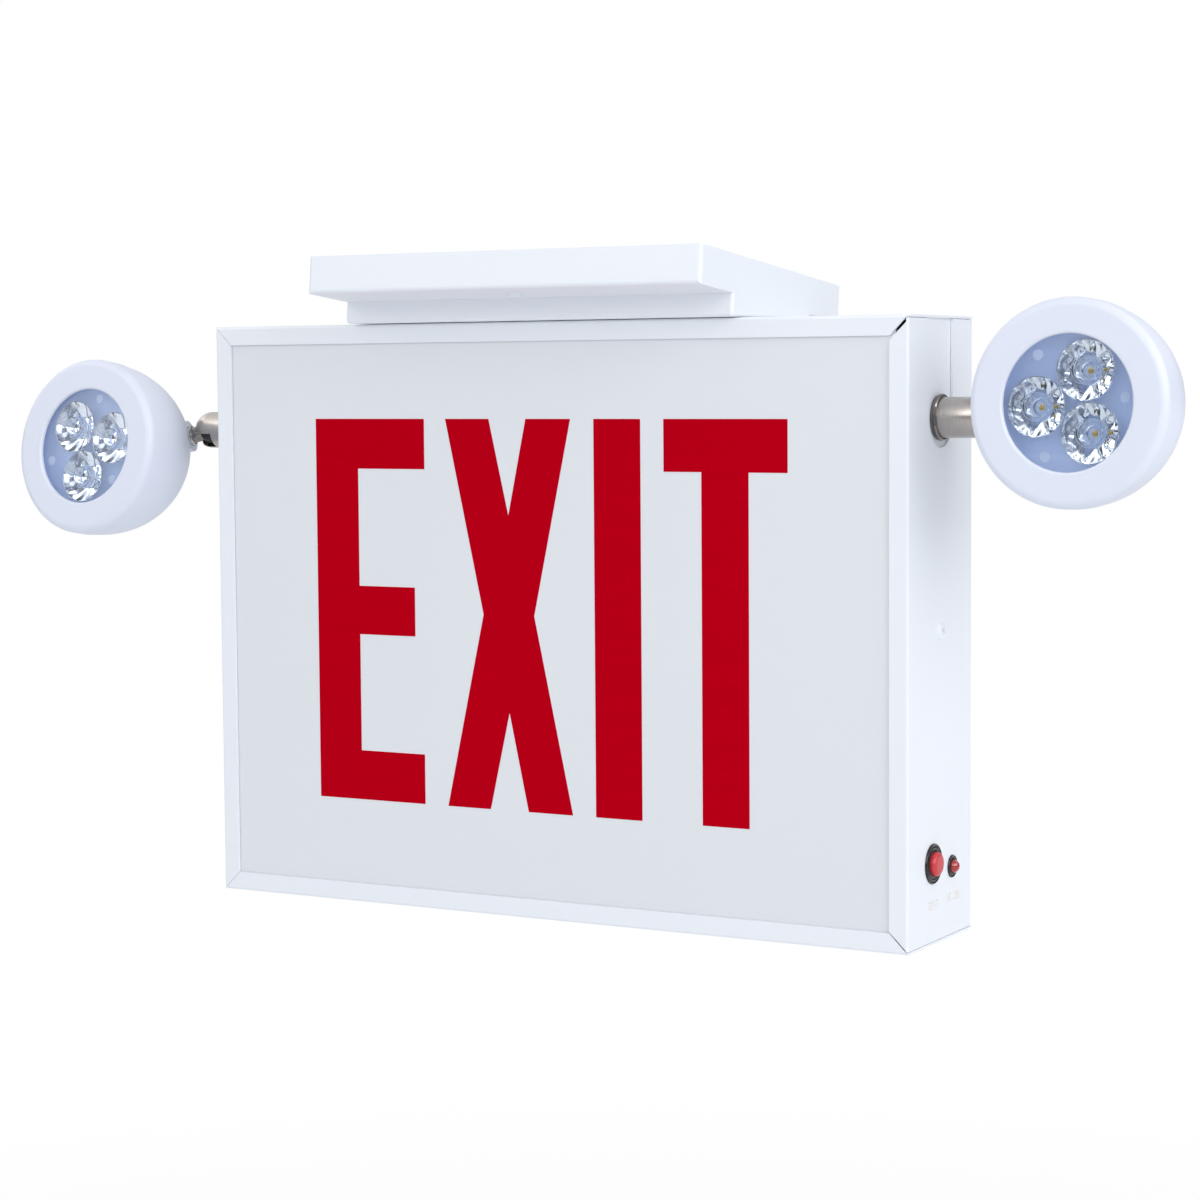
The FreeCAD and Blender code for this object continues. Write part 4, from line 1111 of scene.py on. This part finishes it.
@dataclass
class Lamp(SubAssembly):
    """One swivelling lamp with its neck.

    Local Z runs back along the lamp's axis from the centre of the bezel's front, and local X
    points to the swivel post.

    Attributes:
        side: the end of the housing that it is on.
        plate_back: depth of the light plate's front behind the bezel's front.
        lens_front: depth of the lens's front face.
        lens_back: depth of the lens's rear face.
        lens_r: radius of the lens.
        optic_circle: radius of the circle of the optics' centres.
        optic_r: radius of an optic's mouth.
        optic_foot: radius of an optic's foot.
        optic_top: depth of the optics' mouths.
        well_r: radius of an optic's central well.
        collar_r: radius of the raised collar round the well.
        collar_up: how far the collar stands above the optic's face.
        flutes: flutes round an optic's side.
        flute: how deep they are, as a share of the radius.
        facets: facets round the shell behind an optic.
        facet: how deep they are, as a share of the radius.
        pad_circle: radius of the circle of the lens's pads.
        pad_r: radius of a pad.
        chip_t: thickness of a light chip.
        ball_r: radius of the swivel's ball.
        stem_r: radius of the swivel's post.
        stem_bore: radius of the wire bore through it.
        stem_len: reach of the post from the ball's centre.
        flange_r: outer radius of the neck's flange.
        tube_r: radius of the neck's tube.
        well_deep: how far the well's lens lies behind the optic's face.
        bulge: rise of that lens.
        nest_r: radius of the nest in the optic's foot.
        nest_deep: depth of the nest's edge.
        nest_rise: rise of its round roof.
        side_in: how far the parabola ends inside the optic's mouth.
        rim_t: radius of the section of the pale rings painted as highlights on the collar and on
            the mouth.
        shell_t: thickness of the faceted shell.
        shell_gap: how far it stands off the optic.
        pad_t: thickness of a pad.
        dome_r: radius of a chip's dome.
        dome_up: its height.
        edge: rounding of the lens's and the pads' edges.
    """

    side: Side
    plate_back: float = 12.9
    lens_front: float = 2.4
    lens_back: float = 3.6
    lens_r: float = 34.5
    optic_circle: float = 16.8
    optic_r: float = 14.4
    optic_foot: float = 6.0
    optic_top: float = 3.9
    well_r: float = 4.9
    collar_r: float = 6.7
    collar_up: float = 0.9
    flutes: int = 9
    flute: float = 0.022
    facets: int = 11
    facet: float = 0.07
    pad_circle: float = 27.3
    pad_r: float = 2.6
    chip_t: float = 0.8
    ball_r: float = 7.74
    stem_r: float = 4.5
    stem_bore: float = 2.4
    stem_len: float = 22.4
    flange_r: float = 11.6
    tube_r: float = 10.0
    well_deep: float = 4.0
    bulge: float = 1.5
    nest_r: float = 3.35
    nest_deep: float = 1.7
    nest_rise: float = 1.1
    side_in: float = 0.4
    rim_t: tuple[float, float] = (0.14, 0.11)
    shell_t: float = 0.08
    shell_gap: float = 0.12
    pad_t: float = 0.4
    dome_r: float = 1.25
    dome_up: float = 0.95
    edge: float = 0.15

    NODES = {
        "neck_flange": Wear.bright_nickel, "neck_tube": Wear.brushed_nickel,
        "neck_nut": Wear.zinc_steel, "swivel_post": Wear.bright_nickel,
        "post_nut": Wear.bright_nickel, "seat_collar": Wear.lamp_paint,
        "lamp_bezel": Wear.lamp_paint, "lamp_bowl": Wear.lamp_paint,
        "lamp_lens": Wear.lens_clear, "lamp_optics": Wear.optic_clear,
        "lamp_chips": Wear.chip_ceramic, "lamp_plate": Wear.plate_grey,
    }

    def node(self, word: str) -> str:
        """A word with this lamp's side after it, as its nodes, pieces and head are named."""
        return f"{word}_{self.side.value}"

    def place(self) -> np.ndarray:
        """The lamp's own frame, read from its light plate and its tilt joint.

        The plate is a flat disc, so the direction in which its points spread least is the lamp's
        axis.  X points from that axis to the joint's pivot.
        """
        co = node_points(self.node("lamp_plate"))
        pivot = self.pivot()
        middle = (co.min(axis=0) + co.max(axis=0)) / 2
        axis = np.linalg.svd(co - co.mean(axis=0), full_matrices=False)[2][2]
        axis *= np.sign(np.dot(pivot - middle, axis))
        depth = (co @ axis).min()
        across = co - np.outer(co @ axis, axis)
        centre = (across.min(axis=0) + across.max(axis=0)) / 2
        centre = centre - np.dot(centre, axis) * axis + axis * (depth - self.plate_back)
        return axes_place(centre, pivot - centre, axis)

    def spots(self) -> np.ndarray:
        """Angles of the three optics, the first on the side of the swivel post."""
        return np.radians([0.0, 120.0, 240.0])

    @property
    def collar(self) -> float:
        """Depth of the raised collars' tops."""
        return self.optic_top - 0.2

    @property
    def face(self) -> float:
        """Depth of the optics' faces."""
        return self.collar + self.collar_up

    def side_r(self, t: np.ndarray) -> np.ndarray:
        """Radius of an optic's side: its square grows evenly from the foot to the mouth."""
        foot, mouth = self.optic_foot**2, (self.optic_r - self.side_in) ** 2
        return np.sqrt(foot + (mouth - foot) * t)

    def optic(self) -> Surface:
        """One collimating optic.

        Its side is a parabola that carries shallow flutes, a cosine round the axis that fades as a
        sine to both ends.  A well with a raised collar ends in a convex lens, and a nest in the
        foot holds the chip's dome.
        """
        t = np.linspace(0, 1, 26)
        collar, face, back = self.collar, self.face, self.plate_back
        well, ring, edge = self.well_r, self.collar_r, self.optic_r
        lens_r, lens = well - 0.35, face + self.well_deep
        side = np.c_[self.side_r(t), back + (face + 0.8 - back) * t]
        mouth = np.array([[edge, face + 0.65], [edge, face + 0.12], [edge - 0.12, face],
                          [ring + 0.1, face], [ring, face - 0.1], [ring, collar + 0.15],
                          [ring - 0.15, collar], [well + 0.3, collar], [well, collar + 0.3],
                          [lens_r, lens]])
        bulge = np.c_[lens_r * (1 - t), lens - self.bulge * np.sin(t * math.pi / 2)]
        nest = back - self.nest_deep - self.nest_rise * np.cos(t * math.pi / 2)
        cup = np.c_[self.nest_r * t, nest]
        foot = np.array([[self.nest_r, back], [self.optic_foot, back]])
        skin = lathe(np.concatenate([side, mouth, bulge[1:], cup, foot]), 12 * self.flutes)
        x, y, z = skin.points.T
        fade = np.sin(math.pi * np.clip((back - z) / (back - face), 0, 1))
        swell = 1 + self.flute * fade * np.cos(self.flutes * np.arctan2(y, x))
        skin.points[:, :2] *= np.where(np.hypot(x, y) > ring, swell, 1)[:, None]
        return skin

    def rims(self) -> Surface:
        """Pale rings painted as highlights on an optic's fine edges: two on its collar, one on its
        mouth.

        Each is a thin ring whose section is an eight-sided round.
        """
        turn = np.linspace(0, 2 * math.pi, 8, endpoint=False)
        top, (collar_t, mouth_t) = self.collar + 0.05, self.rim_t
        rings = []
        for radius, depth, thick in ((self.well_r + 0.35, top, collar_t),
                                     (self.collar_r - 0.15, top, collar_t),
                                     (self.optic_r - 0.1, self.face + 0.2, mouth_t)):
            rings.append(lathe(np.c_[radius + thick * np.cos(turn),
                                     depth + thick * np.sin(turn)]))
        return Surface.together(rings)

    def shell(self) -> Surface:
        """The thin faceted shell that mirrors light round an optic's side.

        It follows the optic's parabola a little further out.  A triangle wave round the axis
        gives flat facets, and its phase shifts half a facet over the height, so that they
        stagger.
        """
        t = np.linspace(0.04, 0.93, 14)[:, None]
        angle = np.linspace(0, 2 * math.pi, 12 * self.facets, endpoint=False)[None, :]
        side_r = self.side_r(t)
        turn = angle * self.facets / (2 * math.pi) + 0.5 * (t > 0.5)
        wave = 4 * np.abs(turn - np.floor(turn) - 0.5) - 1
        swell = self.facet * side_r * (wave + 1) / 2 * np.sin(math.pi * t) * 0.5
        radius = side_r * (1 + self.flute) + self.shell_gap + swell
        mouth = self.optic_top + self.collar_up + 0.6
        depth = self.plate_back + (mouth - self.plate_back) * t + 0 * angle
        inner, outer = (np.stack([r * np.cos(angle), r * np.sin(angle), depth], axis=-1)
                        for r in (radius, radius + self.shell_t))
        skin = Surface.grid(np.concatenate([inner, outer[::-1]]), around=True, closed=True)
        return skin.outward()

    def disc(self, radius: float, front: float, back: float) -> Surface:
        """A round disc between two depths, with its outer edges rounded."""
        outline = soft_corners([(radius - 1, front, 0.0), (radius, front, self.edge),
                                (radius, back, self.edge), (radius - 1, back, 0.0)])
        outline[:, 0] = np.where(outline[:, 0] < radius - 0.9, 0.0, outline[:, 0])
        return lathe(outline, 128)

    def swivel(self) -> None:
        """Makes the swivel's ball and post, darkened as painted shade, which stand for the one CAD
        node.

        Each is a lathed ring along the post's axis from the pivot, which is read from the node:
        its ball is round, so the axis runs from the pivot to the middle of the points that lie
        beyond the ball.
        """
        post = self.node("swivel_post")
        co, pivot = node_points(post), self.pivot()
        far = co[np.linalg.norm(co - pivot, axis=1) > self.stem_len - 0.5]
        axis = far.mean(axis=0) - pivot
        place = axes_place(pivot, (0.3, 0.4, 0.86), axis)
        t = np.linspace(0, 1, 25)
        low = math.asin(self.stem_bore / self.ball_r)
        turn = math.pi - low + t * (2 * low - math.pi)
        ball = np.c_[self.ball_r * np.sin(turn), self.ball_r * np.cos(turn)]
        foot = math.sqrt(self.ball_r**2 - self.stem_r**2) - 0.4
        stem = soft_corners([(self.stem_bore, foot, 0.05), (self.stem_r, foot, 0.05),
                             (self.stem_r, self.stem_len, 0.4),
                             (self.stem_bore, self.stem_len, 0.2)])
        # Painted shade: a darker nickel on the stem and near black on the ball stand for their
        # shade.
        for word, outline, wear in (("swivel_stem", stem, Wear.nickel_painted_shade),
                                    ("swivel_ball", ball, Wear.ball_painted_shade)):
            self.add(self.node(word), lathe(outline).placed(place), self.node("head"), wear,
                     "bright_nickel", [post])

    def flange(self) -> None:
        """Makes the neck's flange, a thin turned ring with a stepped sleeve behind it, in a darker
        nickel as painted shade.
        """
        low, high = node_box(self.node("neck_flange"))
        middle, out = (low + high) / 2, math.copysign(1.0, self.pivot()[0])
        front, back = (high[0], low[0]) if out > 0 else (low[0], high[0])
        side = abs(node_box("housing_frame")[0][0])
        deep, proud = abs(back) - side, abs(front) - side
        bore, edge = self.tube_r + 0.06, self.flange_r
        outline = soft_corners([(bore, deep, 0.02), (edge - 0.6, deep, 0.02),
                                (edge - 0.6, 0.1, 0.02), (edge, 0.1, 0.1),
                                (edge, proud * 0.6, 0.25), (edge - 0.7, proud, 0.3),
                                (bore, proud, 0.1)])
        place = axes_place((out * side, middle[1], middle[2]), (0, 0, 1), (out, 0, 0))
        # The flange wears the darker nickel, as painted shade for its dark reflection.
        self.add(self.node("flange_ring"), lathe(outline, 128).placed(place), "housing",
                 Wear.nickel_painted_shade, "bright_nickel", [self.node("neck_flange")])

    def pivot(self) -> np.ndarray:
        """The swivel's centre in millimetres."""
        joint = next(j for j in frame["joints"] if j["name"] == f"{self.side.value}_head_tilt")
        return np.array(joint["pos_m"]) / MM

    def trio(self, surface: Surface, circle: float, depth: float = 0.0) -> Surface:
        """A shape repeated at the three spots.

        Args:
            surface: the shape, round local Z.
            circle: radius of the circle of spots; below zero it sets them opposite.
            depth: how far back they lie.

        Returns:
            The three, in the sign's frame.
        """
        spots = [shift(circle * math.cos(a), circle * math.sin(a), depth) for a in self.spots()]
        return Surface.together([surface.placed(at) for at in spots]).placed(self.place())

    def build(self) -> None:
        """Makes the optics, the chips' domes, the lens with its frosted pads, and the swivel."""
        head, circle = self.node("head"), self.optic_circle
        t = np.linspace(0, math.pi / 2, 10)
        arc = np.c_[self.dome_r * np.cos(t), -self.dome_up * np.sin(t)]
        dome = lathe(np.concatenate([arc, [[0.0, 0.0]]]), 32)
        domes = self.trio(dome, circle, self.plate_back - self.chip_t)
        lens = self.disc(self.lens_r, self.lens_front, self.lens_back).placed(self.place())
        pads = self.trio(self.disc(self.pad_r, 0.0, self.pad_t), -self.pad_circle,
                         self.lens_back + 0.05)
        self.add(self.node("optic_lenses"), self.trio(self.optic(), circle), head,
                 Wear.optic_clear, "optic_clear", [self.node("lamp_optics")])
        self.add(self.node("optic_facets"), self.trio(self.shell(), circle), head,
                 Wear.facet_clear, "optic_clear", crease=12.0)
        # Pale rims on the optics' edges: painted highlights.
        self.add(self.node("optic_rims"), self.trio(self.rims(), circle), head, Wear.frost_and_painted_highlight,
                 "optic_clear")
        self.add(self.node("chip_domes"), domes, head, Wear.chip_yellow, "chip_yellow")
        self.add(self.node("lens_disc"), lens, head, Wear.lens_clear, "lens_clear",
                 [self.node("lamp_lens")])
        self.swivel()
        self.flange()
        self.add(self.node("frosted_pads"), pads, head, Wear.frost_and_painted_highlight, "lens_clear")


# ------------------------------------------------------------------ the studio


@dataclass
class SoftBox:
    """A soft rectangular light.

    Attributes:
        name: its name.
        at: where it stands, in metres.
        aim: what it points at.
        size: its width and height.
        watts: its power.
        colour: its colour.
    """

    name: str
    at: Colour
    aim: Colour
    size: tuple[float, float]
    watts: float
    colour: Colour = (1.0, 1.0, 1.0)

    def build(self) -> None:
        """Sets the light up."""
        light = bpy.data.lights.new(self.name, "AREA")
        light.shape, light.size, light.size_y = "RECTANGLE", *self.size
        light.energy, light.color = self.watts, self.colour
        made = bpy.data.objects.new(self.name, light)
        made.location = self.at
        toward = Vector(self.aim) - Vector(self.at)
        made.rotation_euler = toward.to_track_quat("-Z", "Y").to_euler()
        bpy.context.scene.collection.objects.link(made)


@dataclass
class Studio:
    """Camera, pale floor, soft lights and a white surround.

    Attributes:
        eye: the camera's place.
        right: the direction to the right of its view.
        up: the direction up its view.
        lens: focal length over a 36 mm sensor.
        floor: height of the floor below the hanging sign.
        sky: colour of the surround's light on the object.
        ambient: its strength.
        shine: strength of what gloss sees.
        bands: what gloss sees from straight down to straight up, as places and colours.
        lights: the soft lights.
    """

    eye: Colour = (0.75283, -1.30952, 0.27753)
    right: Colour = (0.87068545, 0.49178815, -0.00716048)
    up: Colour = (-0.03101918, 0.06943578, 0.99710405)
    lens: float = 86.64
    floor: float = -0.42
    sky: Colour = (0.93, 0.96, 1.0)
    ambient: float = 0.71
    shine: float = 2.4
    bands: tuple[tuple[float, Colour], ...] = (
        (0.00, (0.20, 0.20, 0.21)), (0.36, (0.12, 0.12, 0.13)), (0.46, (0.03, 0.03, 0.03)),
        (0.56, (0.04, 0.04, 0.04)), (0.64, (1.00, 1.00, 1.00)), (0.80, (1.00, 1.00, 1.00)),
        (1.00, (0.08, 0.08, 0.09)),
    )
    lights: tuple[SoftBox, ...] = (
        SoftBox("key", (-0.9, -1.9, 1.4), (0.0, 0.0, 0.15), (1.8, 1.3), 5.5, (1.0, 0.995, 0.98)),
        SoftBox("front", (1.1, -1.9, 0.9), (0.0, 0.0, 0.15), (1.5, 1.3), 4.5, (1.0, 0.995, 0.99)),
        SoftBox("fill", (2.1, -0.7, 1.2), (0.1, 0.0, 0.2), (1.7, 1.7), 20.5, (0.97, 0.985, 1.0)),
        SoftBox("top", (0.2, 0.0, 1.9), (0.0, 0.0, 0.2), (1.6, 1.0), 3.0, (1.0, 1.0, 1.0)),
    )

    def clear(self) -> None:
        """Removes what a new file starts with."""
        for name in ("Cube", "Light", "Camera"):
            spare = bpy.data.objects.get(name)
            if spare and "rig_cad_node" not in spare:
                bpy.data.objects.remove(spare)

    def camera(self) -> None:
        """Sets the camera up from its place and its two directions."""
        view = bpy.data.cameras.new("camera")
        view.lens, view.sensor_width, view.sensor_fit = self.lens, 36.0, "HORIZONTAL"
        view.clip_start, view.clip_end = 0.05, 50.0
        right, up = Vector(self.right).normalized(), Vector(self.up).normalized()
        back = right.cross(up)
        made = bpy.data.objects.new("camera", view)
        made.matrix_world = Matrix((
            (right.x, up.x, back.x, self.eye[0]),
            (right.y, up.y, back.y, self.eye[1]),
            (right.z, up.z, back.z, self.eye[2]),
            (0.0, 0.0, 0.0, 1.0),
        ))
        bpy.context.scene.collection.objects.link(made)
        bpy.context.scene.camera = made

    def surround(self) -> None:
        """A white surround to the eye, a soft one as light, and bands of light to gloss.

        Gloss and clear pieces don't see what the eye sees.  They see bright bands above and dark
        ones at the height of the sign and below, fainter behind it, which give metal its shape.
        """
        world = bpy.data.worlds.new("surround")
        world.use_nodes = True
        bpy.context.scene.world = world
        shader = Shader(world.node_tree)
        toward = shader.node("ShaderNodeTexCoord", output="Generated")
        rise, depth = shader.part(toward, 2), shader.part(toward, 1)
        bands = shader.node("ShaderNodeValToRGB", {"stops": self.bands}, {0: rise * 0.5 + 0.5})
        light, room, white = (
            shader.node("ShaderNodeBackground", {}, {"Color": colour, "Strength": strength})
            for colour, strength in (
                ((*self.sky, 1.0), self.ambient),
                (bands, (1.0 - depth.larger(0.0).smaller(0.7)) * self.shine),
                (WHITE, 1.0)))
        lit = shader.between(shader.shining(), light, room)
        shader.node("ShaderNodeOutputWorld", {},
                    {"Surface": shader.between(shader.ray("Camera"), lit, white)})

    def ground(self) -> None:
        """A pale floor that the eye sees as white and that still takes the sign's shadow."""
        reach = np.linspace(-30000.0, 30000.0, 25)
        x, y = np.meshgrid(reach, reach)
        skin = Surface.grid(np.stack([x, y, np.full_like(x, self.floor / MM)], axis=-1))
        made = skin.piece("floor", CREASE)
        material = bpy.data.materials.new("pale_floor")
        material.use_nodes = True
        shader = Shader(material.node_tree)
        grain = shader.noise(30.0, 2.0)
        pale = shader.blend(grain * 0.3, (0.86, 0.87, 0.88), (0.82, 0.83, 0.85))
        matt = shader.node("ShaderNodeBsdfPrincipled", {}, {"Base Color": pale, "Roughness": 0.9})
        glow = shader.node("ShaderNodeEmission", {}, {"Color": WHITE, "Strength": 1.0})
        seen = shader.ray("Camera").larger(shader.shining() * 0.6)
        here, deep = shader.part(shader.place(), 0), shader.part(shader.place(), 1)
        away = ((here * here + deep * deep) * 0.6).smaller(1.0)
        mixed = shader.between(seen * (away * 0.15 + 0.85), matt, glow)
        shader.node("ShaderNodeOutputMaterial", {}, {"Surface": mixed})
        made.data.materials.append(material)

    def build(self) -> None:
        """Sets the whole studio up."""
        self.camera()
        self.surround()
        self.ground()
        for light in self.lights:
            light.build()
        bpy.context.scene.view_settings.view_transform = "Standard"


def main() -> None:
    """Builds and dresses the sign and sets up the studio."""
    studio = Studio()
    studio.clear()
    assemblies = [Housing(), Legend(), Controls(), Canopy(), Lamp(Side.LEFT), Lamp(Side.RIGHT)]
    for assembly in assemblies:
        assembly.build()
        assembly.dress()
        log.info("%s: %d pieces made", type(assembly).__name__, len(assembly.made))
    studio.build()


if __name__ == "__main__":
    main()
